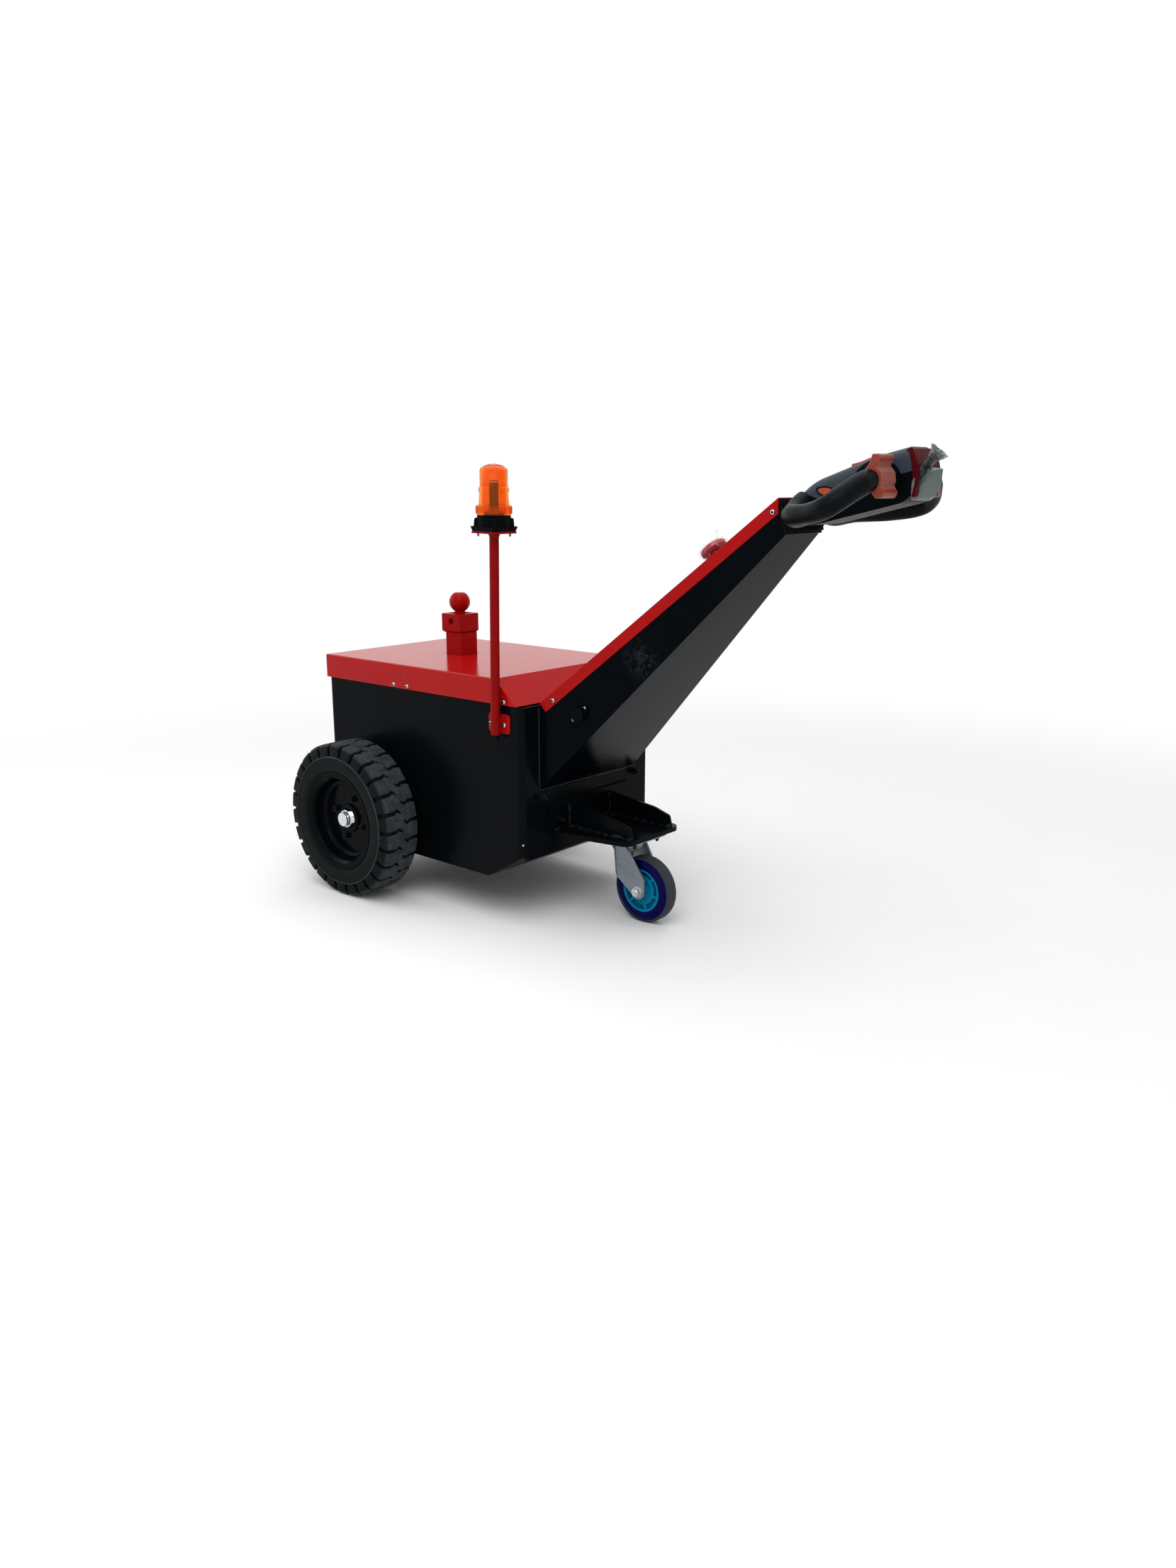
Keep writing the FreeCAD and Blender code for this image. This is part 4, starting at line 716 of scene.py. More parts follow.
# ---- sub-assemblies -----------------------------------------------------------------
@dataclass
class DriveTyre:
    """A solid tyre: a plain carcass under a ring of blocks parted by Z-shaped grooves."""

    side: Side
    pitches: int = 26
    groove_w: float = 8.6 * MM
    shoulder_w: float = 11 * MM
    groove_depth: float = 8 * MM
    hook_start: float = 23 * MM
    hook_peak: float = 12 * MM
    hook_rise: float = 5.3 * MM
    taper_y: float = 3.6 * MM
    tip_y: float = 1 * MM
    tip_drop: float = 2.8 * MM
    edge: float = 0.9 * MM
    cut_step: float = 9 * MM
    bends: tuple[float, ...] = (20 * MM, 40 * MM, 45 * MM, 48.2 * MM, 53 * MM, 60 * MM)
    lean_start: float = 36 * MM
    lean_run: float = 14 * MM
    lean_most: float = 1.25
    seat_r: float = 101.9 * MM
    flange_r: float = 117.4 * MM
    rib_r: float = 151 * MM
    steps: int = 130

    @property
    def crown(self) -> list[tuple[float, float]]:
        """The blocks' outer face from the middle outwards: distance across, drop below the crown."""
        return [(0, 0), (20 * MM, 0), (40 * MM, 0.6 * MM), (45.6 * MM, 6.5 * MM), (48.7 * MM, 29 * MM)]

    def section(self, reach: float) -> tuple[float, float, float]:
        """The place on the blocks' face at a reach from the middle: across, drop and lean in radians.

        Args:
            reach: The distance along the face, signed as the side is.

        Returns:
            The distance across, the drop below the crown and the lean.
        """
        left = abs(reach)
        lean = min(self.lean_most, max(0.0, (left - self.lean_start) / self.lean_run))
        for (y0, d0), (y1, d1) in zip(self.crown, self.crown[1:]):
            length = math.hypot(y1 - y0, d1 - d0)
            if left <= length + 1e-9 or (y1, d1) == self.crown[-1]:
                break
            left -= length
        share = left / length
        return math.copysign(y0 + (y1 - y0) * share, reach), d0 + (d1 - d0) * share, lean

    def groove(self, side: int, start: float, way: int, end: float) -> list[tuple[float, float]]:
        """One edge of a groove laid flat, from the shoulder to its tip.

        Args:
            side: The tyre's half, as the sign of the distance across.
            start: Where the groove's middle meets the shoulder.
            way: The block's side of the groove, as a sign.
            end: The distance from the tyre's middle to the shoulder.

        Returns:
            The edge's corners.
        """
        half = way * self.groove_w / 2
        near = (self.taper_y - self.tip_y) / (self.hook_peak - self.tip_y)
        taper = self.tip_drop - near * (self.tip_drop + self.hook_rise)
        return [(start + way * self.shoulder_w / 2, side * end), (start + half, side * self.hook_start),
                (start - side * self.hook_rise + half, side * self.hook_peak),
                (start + side * taper + half * 0.8, side * self.taper_y),
                (start + side * self.tip_drop, side * self.tip_y)]

    def plan(self, radius: float) -> list[tuple[float, float]]:
        """One block laid flat: the edges of the grooves round it, from shoulder to tip and back.

        Args:
            radius: The tyre's radius.

        Returns:
            The block's outline.
        """
        pitch = math.tau * radius / self.pitches
        end = sum(math.dist(a, b) for a, b in zip(self.crown, self.crown[1:]))
        return (self.groove(-1, 0, 1, end) + self.groove(1, -pitch / 2, 1, end)[::-1]
                + self.groove(1, pitch / 2, -1, end) + self.groove(-1, pitch, -1, end)[::-1])

    def block(self, radius: float) -> BMesh:
        """One block of tread, bent to the wheel.

        Args:
            radius: The tyre's radius.

        Returns:
            The block, about the Y axis.
        """
        bm = bmesh.new()
        bm.faces.new([bm.verts.new((s, t, 0)) for s, t in self.plan(radius)])
        tops = set(raised(bm, bm.faces[:])[0])
        for vert in bm.verts:
            if vert not in tops:
                vert.co.z = -self.groove_depth
        hidden = [f for f in bm.faces
                  if tops.isdisjoint(f.verts) or all(abs(v.co.y) < 1.1 * self.tip_y for v in f.verts)]
        bmesh.ops.delete(bm, geom=hidden, context="FACES_ONLY")
        rims = [e for e in bm.edges if tops.issuperset(e.verts) and len(e.link_faces) == 2]
        bmesh.ops.bevel(bm, geom=rims, offset=self.edge, segments=2, profile=0.5, affect="EDGES", material=-1,
                        clamp_overlap=True)
        low, high = (pick(v.co.x for v in bm.verts) for pick in (min, max))
        cuts = [(Vector((low + n * self.cut_step, 0, 0)), Vector((1, 0, 0)))
                for n in range(1, math.ceil((high - low) / self.cut_step))]
        cuts += [(Vector((0, sign * bend, 0)), Vector((0, 1, 0))) for bend in self.bends for sign in (-1, 1)]
        for point, normal in cuts:
            bmesh.ops.bisect_plane(bm, geom=bm.verts[:] + bm.edges[:] + bm.faces[:], dist=1e-7,
                                   plane_co=point, plane_no=normal)
        for vert in bm.verts:
            across, drop, lean = self.section(vert.co.y)
            angle, depth = vert.co.x / radius, vert.co.z
            r = radius - drop + depth * math.cos(lean)
            y = across + math.copysign(1, across) * depth * math.sin(lean)
            vert.co = (r * math.cos(angle), y, r * math.sin(angle))
        return bm

    def carcass(self, radius: float, half: float) -> BMesh:
        """The tyre under its blocks, turned about Z.

        Args:
            radius: The tyre's radius.
            half: Half of its width.

        Returns:
            The carcass.
        """
        floor = radius - self.groove_depth + 0.6 * MM
        outline = [(self.seat_r, half - 5 * MM), (self.flange_r, half - 5 * MM),
                   (self.flange_r + 1.2 * MM, half - 2.5 * MM), (self.flange_r + 5 * MM, half - 1.3 * MM),
                   (self.flange_r + 11 * MM, half - 0.8 * MM), (self.rib_r - 2 * MM, half - 0.8 * MM),
                   (self.rib_r - 1 * MM, half), (self.rib_r + 1.5 * MM, half),
                   (self.rib_r + 2.6 * MM, half - 1.4 * MM), (self.rib_r + 3.6 * MM, half - 7.4 * MM),
                   (radius - 12 * MM, half - 8.2 * MM), (floor - 0.2 * MM, half - 11.5 * MM),
                   (floor, half - 20 * MM)]
        return turned(outline + [(r, -y) for r, y in reversed(outline)] + outline[:1], self.steps)

    def build(self) -> None:
        """Makes the tyre in place of its plain CAD ring."""
        node = "drive_tyre_" + self.side.word
        low, high = corners(node)
        radius = (high.z - low.z) / 2
        bm = self.block(radius)
        copies = self.pitches - 1
        bmesh.ops.spin(bm, geom=bm.verts[:] + bm.edges[:] + bm.faces[:], cent=(0, 0, 0), axis=(0, 1, 0),
                       angle=math.tau * copies / self.pitches, steps=copies, use_duplicate=True)
        bmesh.ops.remove_doubles(bm, verts=bm.verts, dist=2e-5)
        add_part(bm, self.carcass(radius, (high.y - low.y) / 2), Matrix.Rotation(-math.pi / 2, 4, "X"))
        bmesh.ops.translate(bm, vec=(low + high) / 2, verts=bm.verts)
        make_piece(bm, "block_tread_tyre_" + self.side.word, TYRE_RUBBER, "drive_wheel_" + self.side.word,
                   30, (node,))


class Fastener:
    """The fasteners that the tug is put together with, each standing on Z = 0."""

    @staticmethod
    def button_screw(radius: float) -> BMesh:
        """A domed socket screw.

        Args:
            radius: The head's radius.

        Returns:
            The head.
        """
        socket = radius * 0.46
        return turned([(0, radius * 0.06), (socket, radius * 0.06), (socket, radius * 0.6),
                       (radius * 0.6, radius * 0.58), (radius * 0.85, radius * 0.4), (radius, radius * 0.1),
                       (radius, 0)])

    @staticmethod
    def painted_socket_shade(radius: float) -> BMesh:
        """A dark six-sided plate in the bottom of a button screw's socket: painted shade in the recess."""
        return prism(radius * 0.86, radius * 0.16, radius * 0.03)

    @staticmethod
    def cap_screw(radius: float, height: float) -> BMesh:
        """A cylinder head with a deep socket.

        Args:
            radius: The head's radius.
            height: Its height.

        Returns:
            The head.
        """
        socket = radius * 0.56
        return turned([(0, height * 0.45), (socket, height * 0.45), (socket, height - 0.4 * MM),
                       (socket + 0.4 * MM, height), (radius - 0.9 * MM, height),
                       (radius - 0.2 * MM, height - 0.5 * MM), (radius, height - 1.2 * MM), (radius, 0)], 24)

    @staticmethod
    def bolt_end(radius: float, height: float) -> BMesh:
        """The chamfered, threaded end of a bolt.

        Args:
            radius: The thread's outer radius.
            height: How far it stands out.

        Returns:
            The end.
        """
        pitch = 1.6 * MM
        turns = int(height / pitch)
        points = [(radius * 0.94 if n % 2 else radius, n * pitch / 2) for n in range(turns * 2 - 1)]
        return turned(points + [(radius * 0.78, height), (0, height)], 16)

    @staticmethod
    def washer(radius: float, height: float) -> BMesh:
        """A plain washer."""
        return turned([(0, height), (radius * 0.96, height), (radius, height * 0.6), (radius, 0)], 24)

    @classmethod
    def stud_stack(cls, across: float, nuts: int, reach: float) -> list[tuple[BMesh, float]]:
        """A washer, one or two nuts and the stud's end, each with its height above the plate.

        Args:
            across: The nuts' width over two flats.
            nuts: How many there are.
            reach: How far the stud stands out.

        Returns:
            The parts and their heights.
        """
        nut_h = across * 0.46
        stack = [(cls.washer(across * 0.66, across * 0.1), 0.0)]
        stack += [(prism(across, nut_h, across * 0.06), across * 0.1 + n * (nut_h + 0.3 * MM)) for n in range(nuts)]
        return stack + [(cls.bolt_end(across * 0.3, reach), 0.0)]


@dataclass
class WheelScrews:
    """The socket-head screws that hold a rim to its hub."""

    side: Side
    count: int = 4
    circle_r: float = 50 * MM
    turn: float = math.radians(72)
    head_r: float = 7 * MM
    head_h: float = 10 * MM
    washer_h: float = 1.6 * MM
    beside: float = 11 * MM

    def build(self) -> None:
        """Makes the screws on the rim's disc."""
        rim = "drive_rim_" + self.side.word
        low, high = corners(rim)
        centre = (low + high) / 2
        out = Vector((0, self.side.value, 0))
        bm = bmesh.new()
        for n in range(self.count):
            angle = self.turn + math.tau * n / self.count
            spoke = Vector((math.cos(angle), 0, math.sin(angle)))
            face, _ = touch(rim, centre + spoke * (self.circle_r + self.beside) + out * 0.2, -out)
            place = standing(Vector((centre.x, face.y, centre.z)) + spoke * self.circle_r, out)
            add_part(bm, Fastener.washer(self.head_r * 1.3, self.washer_h), place)
            add_part(bm, Fastener.cap_screw(self.head_r, self.head_h), place)
        make_piece(bm, "wheel_screws_" + self.side.word, BLACK_OXIDE, "drive_wheel_" + self.side.word)


@dataclass
class PanelScrews:
    """Stainless button screws round the lid, the beacon bracket and the tiller cover."""

    lid_x: tuple[float, ...] = (-459.2 * MM, -412.8 * MM, -102.4 * MM)
    lid_z: float = 499.7 * MM
    bracket_x: tuple[float, ...] = (-141.2 * MM, -101.6 * MM)
    bracket_z: float = 450.3 * MM
    bracket_t: float = 3.05 * MM
    cover_at: tuple[tuple[float, float], ...] = ((-18.4 * MM, 504.9 * MM), (450.4 * MM, 899 * MM))
    socket_at: tuple[tuple[float, float], ...] = ((59.6 * MM, 496.6 * MM), (31.6 * MM, 468.2 * MM))
    radius: float = 5.2 * MM
    small_r: float = 3.2 * MM
    rivet_at: tuple[float, float] = (-57.8 * MM, 189.2 * MM)

    def build(self) -> None:
        """Makes the screws and, in black oxide, plates in the bottoms of their sockets as painted shade."""
        places: list[tuple[Matrix, float]] = []
        for side in Side:
            places += [(self.seat("lid", x, self.lid_z, side), self.radius) for x in self.lid_x]
            places += [(self.seat("tiller_cover", x, z, side), self.radius) for x, z in self.cover_at]
        face_y = corners("chassis_shell")[0].y - self.bracket_t
        for x in self.bracket_x:
            places.append((standing(Vector((x, face_y, self.bracket_z)), Vector((0, -1, 0))), self.radius))
        places += [(self.seat("charging_socket", x, z, Side.LEFT), self.small_r) for x, z in self.socket_at]
        heads, shade_plates = bmesh.new(), bmesh.new()
        for place, radius in places:
            add_part(heads, Fastener.button_screw(radius), place)
            # the black oxide plates in the stainless sockets are painted shade
            add_part(shade_plates, Fastener.painted_socket_shade(radius), place)
        rivet = turned([(0, 1 * MM), (1.2 * MM, 0.8 * MM), (2.2 * MM, 0)])
        add_part(heads, rivet, self.seat("chassis_shell", *self.rivet_at, Side.LEFT))
        make_piece(heads, "panel_screws", STAINLESS, "chassis")
        make_piece(shade_plates, "screw_socket_painted_shade", BLACK_OXIDE, "chassis")

    def seat(self, node: str, x: float, z: float, side: Side) -> Matrix:
        """The place of a screw where it meets a node's side."""
        return standing(*touch(node, Vector((x, side.value, z)), Vector((0, -side.value, 0))))


@dataclass
class FrameBolts:
    """Black bolts of the end plate, the caster bracket, the caster and the tiller's end."""

    plate_studs: tuple[tuple[float, float], ...] = ((-162 * MM, 288 * MM), (162 * MM, 288 * MM))
    back_studs: tuple[tuple[float, float], ...] = ((-107 * MM, 229 * MM), (107 * MM, 229 * MM))
    across: float = 13 * MM
    stud_reach: float = 20 * MM
    caster_pitch: tuple[float, float] = (105 * MM, 80 * MM)
    caster_t: float = 5 * MM
    caster_reach: float = 14 * MM
    flange_inset: float = 7 * MM
    flange_up: float = 19.04 * MM
    flange_head: tuple[float, float, float] = (8 * MM, 4 * MM, 0.5 * MM)
    reach: float = 60 * MM

    def build(self) -> None:
        """Makes the bolts."""
        bm = bmesh.new()
        ahead = Vector((1, 0, 0))
        for node, studs in (("end_plate", self.plate_studs), ("caster_bracket", self.back_studs)):
            for y, z in studs:
                at, _ = touch(node, Vector((corners(node)[1].x + self.reach, y, z)), -ahead)
                self.add_stack(bm, at, ahead, 2, self.stud_reach)
        low, high = corners("caster_plate")
        for sx in (-1, 1):
            for sy in (-1, 1):
                x = (low.x + high.x) / 2 + sx * self.caster_pitch[0] / 2
                foot = Vector((x, sy * self.caster_pitch[1] / 2, high.z - self.caster_t))
                self.add_stack(bm, foot, -UP, 1, self.caster_reach)
        low, high = corners("head_flange")
        for y in (low.y + self.flange_inset, high.y - self.flange_inset):
            for up in (-self.flange_up, self.flange_up):
                start = HeadFrame.place(self.reach, y, up)
                add_part(bm, prism(*self.flange_head), standing(*touch("head_flange", start, -HeadFrame.along)))
        make_piece(bm, "frame_bolts", BLACK_OXIDE, "chassis")

    def add_stack(self, bm: BMesh, at: Vector, out: Vector, nuts: int, reach: float) -> None:
        """Adds a stud with its washer and nuts, standing out from a face."""
        for part, height in Fastener.stud_stack(self.across, nuts, reach):
            add_part(bm, part, standing(at + out * height, out))


class HeadFrame:
    """The tiller head's own directions: away from the arm, and up through the shells."""

    tilt: float = math.atan2(15, 64)
    along: Vector = Vector((math.cos(tilt), 0, math.sin(tilt)))
    up: Vector = Vector((-math.sin(tilt), 0, math.cos(tilt)))
    start: Vector = Vector((467.8 * MM, 0, 890 * MM))

    @classmethod
    def place(cls, along: float, across: float, up: float) -> Vector:
        """A point in the tug's frame from the head's own distances."""
        return cls.start + cls.along * along + cls.up * up + Vector((0, across, 0))


@dataclass
class WeldBeads:
    """Painted-over weld beads: rippled runs along the joints of the frame."""

    width: float = 7 * MM
    ripple: float = 2.2 * MM
    wander_mm: float = 22.0
    lump_mm: float = 17.0
    crust_mm: float = 13.0
    shelf_t: float = 10 * MM
    back_t: float = 6 * MM
    gusset_y: float = 69 * MM
    gusset_half: float = 3.4 * MM
    gusset_h: float = 54 * MM
    gusset_l: float = 178 * MM
    root_half: float = 122 * MM

    def run(self, bm: BMesh, start: Vector, way: Vector, swell: float = 1.0, rough: float = 0.3) -> None:
        """Lays one bead: a tube that swells, wanders and ripples like a hand weld under paint.

        Args:
            bm: The mesh that takes the bead.
            start: The bead's start.
            way: From its start to its end.
            swell: Its width, as a share of the usual one.
            rough: How uneven it is.
        """
        width = self.width * swell
        count = max(4, int(way.length / self.ripple))
        path, radii = [], []
        for n in range(count + 1):
            at = start + way * (n / count)
            path.append(at + noise.noise_vector(at * per_mm(self.wander_mm)) * width * 0.25 * rough)
            lump = 1 + 0.5 * rough * noise.noise(at * per_mm(self.lump_mm)) + 0.03 * math.sin(n * 1.9)
            radii.append(width / 2 * lump * (0.4 if n in (0, count) else 1))
        bead = swept(path, radii, 12)
        for vert in bead.verts:
            vert.co += noise.noise_vector(vert.co * per_mm(self.crust_mm)) * width * 0.2 * rough
        add_part(bm, bead, Matrix.Identity(4))

    def build(self) -> None:
        """Lays the beads of the arm's root and of the caster bracket."""
        bm = bmesh.new()
        plate, arm = corners("end_plate")[1], corners("tiller_arm")[0]
        for side in (-1, 1):
            foot = Vector((plate.x, -side * arm.y, arm.z))
            self.run(bm, foot, UP * (plate.z - 4 * MM - arm.z))
        self.run(bm, Vector((plate.x, arm.y, arm.z - 1 * MM)), Vector((0, -2 * arm.y, 0)))
        root = Vector((plate.x + self.back_t, 0, corners("caster_bracket")[0].z + self.shelf_t))
        for y in (-self.gusset_y, self.gusset_y):
            for side in (-1, 1):
                foot = root + Vector((0, y + side * self.gusset_half, 0))
                self.run(bm, foot + Vector((1 * MM, 0, 0)), UP * self.gusset_h, 1.35, 0.5)
                self.run(bm, foot, Vector((self.gusset_l, 0, 0)), 1.7, 1.1)
        self.run(bm, root - Vector((0, self.root_half, 0)), Vector((0, 2 * self.root_half, 0)), 1.4, 0.9)
        make_piece(bm, "weld_beads", WELD_ENAMEL, "chassis", 120)


@dataclass
class BeaconTrim:
    """The beacon's small parts: knurled lens ring, weld cone and screw tips."""

    lean: float = math.radians(1.0)
    plate_t: float = 0.6 * MM
    tip_offset: float = 23 * MM
    head_z: float = 14.5 * MM
    knurls: int = 72
    knurl: tuple[float, float, float] = (1.5 * MM, 13 * MM, 0.3 * MM)
    knurl_at: tuple[float, float, float] = (36.3 * MM, 0, 40 * MM)
    flutes: int = 40
    flute: tuple[float, float, float] = (1.8 * MM, 20 * MM, 0.4 * MM)
    flute_at: tuple[float, float, float] = (33.6 * MM, 0, 15 * MM)

    def build(self) -> None:
        """Makes the trim along the pole's leaning axis."""
        up = Vector((math.sin(self.lean), 0, math.cos(self.lean)))
        low, high = corners("beacon_plate")
        place = standing(Vector(((low.x + high.x) / 2, (low.y + high.y) / 2, low.z + self.plate_t)), up)
        cone = turned([(0, 0), (15 * MM, 0), (12 * MM, -2 * MM), (10.1 * MM, -8 * MM), (9.8 * MM, -9 * MM)], 32)
        bmesh.ops.transform(cone, matrix=place, verts=cone.verts)
        make_piece(cone, "pole_weld_cone", POLE_POWDER, "chassis")
        screws = bmesh.new()
        for offset in (-self.tip_offset, self.tip_offset):
            foot = place @ Vector((offset, offset, 0))
            add_part(screws, Fastener.bolt_end(2.6 * MM, 6.5 * MM), standing(foot, -up))
            head = place @ Vector((offset, offset, self.head_z))
            add_part(screws, Fastener.button_screw(4 * MM), standing(head, up))
        make_piece(screws, "beacon_screws", ZINC, "chassis")
        knurls = self.ribs(place, self.knurls, self.knurl_at, self.knurl)
        make_piece(knurls, "lens_ring_knurls", AMBER, "chassis")
        flutes = self.ribs(place, self.flutes, self.flute_at, self.flute, 0.5)
        make_piece(flutes, "beacon_base_flutes", BLACK_ABS, "chassis")

    def ribs(self, place: Matrix, count: int, foot: tuple[float, float, float],
             size: tuple[float, float, float], phase: float = 0.0) -> BMesh:
        """Makes fine upright ribs round the beacon.

        Args:
            place: The beacon's own frame.
            count: The ribs in the ring.
            foot: The first rib's foot in that frame.
            size: A rib's width, height and broken edge.
            phase: How far the ring is turned, as a share of the pitch.

        Returns:
            The ring of ribs.
        """
        bm = bmesh.new()
        for n in range(count):
            turn = Matrix.Rotation(math.tau * (n + phase) / count, 4, "Z")
            add_part(bm, prism(*size, 4), place @ turn @ Matrix.Translation(foot))
        return bm


@dataclass
class CasterEmboss:
    """The plain oval raised on the fork's leg; it carries no mark."""

    at: tuple[float, float] = (73.3 * MM, 133 * MM)
    size: tuple[float, float] = (20 * MM, 11.5 * MM)
    lean: float = 0.1

    def build(self) -> None:
        """Makes one oval ring on each leg."""
        bm = bmesh.new()
        for side in Side:
            beside = Vector((self.at[0], side.value * 0.2, self.at[1]))
            at, normal = touch("caster_fork", beside, Vector((0, -side.value, 0)))
            ring = turned([(0.93, -0.3 * MM), (0.94, 0.45 * MM), (0.97, 0.6 * MM), (1.0, 0.45 * MM),
                           (1.01, -0.3 * MM)], 48)
            stretch = Matrix.Diagonal((*self.size, 1, 1))
            turn = Matrix.Rotation(self.lean * side.value, 4, "Z")
            add_part(bm, ring, standing(at, normal) @ turn @ stretch)
        make_piece(bm, "fork_oval_emboss", ZINC, "caster_swivel", 50)


@dataclass
class Wrapping:
    """Protective film left on the controls: drawn tight over each and creased.

    The bag that slipped off the belly button is given in the tiller head's frame, in millimetres
    along it, to its side and up. A fourth number is the film's radius there.
    """

    stop_slope: float = 0.7
    stop_tail: tuple[float, float, float] = (17 * MM, 0, 8 * MM)
    stop_reach: float = 50 * MM
    bag_reach: float = 90 * MM
    crinkle_mm: float = 9.0
    crinkle: float = 1.6 * MM
    corners: int = 22
    bag_sides: tuple[float, ...] = (-43.5, 38)
    bag_root: tuple[tuple[float, float], ...] = ((244, -23), (249, 4), (258, 14))
    bag_end: tuple[tuple[float, float, float], ...] = (
        (264, -2, 27), (291, -2, 19), (285, -2, 0), (281, -2, -11), (270, -2, -22), (256, -2, -28))
    bag_centre: tuple[float, float, float] = (262, -3, -3)
    strand: tuple[tuple[float, float, float, float], ...] = (
        (256, -43, -11, 1), (259, -41, -3, 3), (262, -38, 4, 5.5), (266, -35, 12, 7.5), (270, -31, 20, 9),
        (276, -27, 28, 9), (283, -23, 36, 9.5), (288, -20, 41, 11))
    flare: tuple[tuple[float, float, float, float], ...] = (
        (283, -23, 36, 9), (288, -20, 41, 11.5), (292, -17, 45, 15), (296, -15, 49, 19))

    def shrink(self, inner: BVHTree, centre: Vector, radii: Vector, slack: float, crumple: float,
               crease_mm: float = 14.0, smooth: int = 4) -> BMesh:
        """Pulls a round bag in towards a surface until it almost touches.

        Args:
            inner: The wrapped surface.
            centre: The point that the film is pulled towards.
            radii: The bag's half sizes before it is pulled in.
            slack: The gap left between film and surface.
            crumple: The height of the creases.
            crease_mm: The distance between creases.
            smooth: Passes of smoothing, which bridge hollows.

        Returns:
            The film's mesh.
        """
        bm = bmesh.new()
        bmesh.ops.create_icosphere(bm, subdivisions=6, radius=1)
        for vert in bm.verts:
            way = Vector([a * b for a, b in zip(vert.co, radii)])
            at, _, _, _ = inner.ray_cast(centre + way, -way.normalized(), way.length)
            vert.co = (at if at is not None else centre + way * 0.35) + way.normalized() * slack
        for _ in range(smooth):
            bmesh.ops.smooth_vert(bm, verts=bm.verts, factor=0.5,
                                  use_axis_x=True, use_axis_y=True, use_axis_z=True)
        bm.normal_update()
        for vert, normal in [(v, v.normal.copy()) for v in bm.verts]:
            ridge = 1 - abs(noise.noise(vert.co * per_mm(crease_mm))) * 3
            fine = 1 - abs(noise.noise(vert.co * per_mm(crease_mm * 0.4) + Vector((7, 3, 1)))) * 3
            vert.co += normal * crumple * (max(0.0, ridge) ** 2 + 0.3 * max(0.0, fine) ** 2)
        return bm

    def build(self) -> None:
        """Wraps the emergency stop, the thumb switches and the belly button."""
        self.wrap_stop()
        for side in Side:
            node = "thumb_switch_" + side.word
            low, high = corners(node)
            bm = self.shrink(surface(node), (low + high) / 2, (high - low) * 0.9,
                             slack=0.5 * MM, crumple=0.9 * MM, crease_mm=16, smooth=3)
            self.finish(bm, "thumb_wrap_" + side.word, SNUG_FILM)
        self.wrap_belly()

    def wrap_stop(self) -> None:
        """A bag over the stop button, gathered into a tail."""
        slope = Vector((-math.sin(self.stop_slope), 0, math.cos(self.stop_slope)))
        low, high = corners("stop_button")
        centre = (low + high) / 2 + slope * 3 * MM
        bm = self.shrink(surface("stop_button"), centre, Vector.Fill(3, self.stop_reach),
                         slack=3 * MM, crumple=2 * MM, crease_mm=20)
        top = centre + slope * 14 * MM + Vector(self.stop_tail)
        path = [top + Vector((-0.1, 0, 1)) * step * MM for step in (-6, -1, 4, 9, 13, 17, 20)]
        radii = [size * MM for size in (13, 7, 3, 2, 1.8, 3.2, 4)]
        add_part(bm, swept(path, radii, 16, turn=0.5, pinch=0.5), Matrix.Identity(4))
        self.finish(bm, "stop_wrap", FILM)

    def in_head(self, along: float, side: float, up: float) -> Vector:
        """A place that is given in millimetres of the tiller head's frame."""
        return HeadFrame.place(along * MM, side * MM, up * MM)

    def bag_form(self) -> BVHTree:
        """The wedge that the slipped bag is pulled over: as wide as the head at its root, flat at its end.

        Returns:
            The wedge's surface.
        """
        bm = bmesh.new()
        for side in self.bag_sides:
            for along, up in self.bag_root:
                bm.verts.new(self.in_head(along, side, up))
        for point in self.bag_end:
            bm.verts.new(self.in_head(*point))
        bmesh.ops.convex_hull(bm, input=bm.verts[:])
        tree = BVHTree.FromBMesh(bm)
        bm.free()
        return tree

    def wrap_belly(self) -> None:
        """A film bag that has slipped off the belly button, and the strand that it is gathered into."""
        centre = self.in_head(*self.bag_centre)
        bag = self.shrink(self.bag_form(), centre, Vector.Fill(3, self.bag_reach),
                          slack=0.3 * MM, crumple=0.8 * MM, crease_mm=34, smooth=1)
        self.finish(bag, "belly_wrap_bag", TAUT_FILM)
        self.crumpled("belly_wrap_strand", self.strand, TWIST_FILM, turn=0.14, pinch=0.55)
        self.crumpled("belly_wrap_flare", self.flare, FLARE_FILM, turn=0.2, pinch=0.5)

    def crumpled(self, name: str, rows: tuple[tuple[float, ...], ...], film: Finish, turn: float,
                 pinch: float) -> None:
        """Makes a piece of gathered film: a folded tube, divided and shaken.

        Args:
            name: The piece's name.
            rows: Its centres and radii.
            film: Its finish.
            turn: How far each ring turns from the last.
            pinch: The radius of every other corner, as a share.
        """
        path = [self.in_head(*row[:3]) for row in rows]
        bm = swept(path, [row[3] * MM for row in rows], self.corners, turn, pinch)
        walls = [edge for edge in bm.edges if len(edge.link_faces) == 2]
        bmesh.ops.subdivide_edges(bm, edges=walls, cuts=1, use_grid_fill=True)
        for vert in bm.verts:
            vert.co += noise.noise_vector(vert.co * per_mm(self.crinkle_mm)) * self.crinkle
        self.finish(bm, name, film)

    def finish(self, bm: BMesh, name: str, film: Finish) -> None:
        """Makes a film mesh a piece of the chassis, which has no slot for it."""
        make_piece(bm, name, film, "chassis", crease=60)


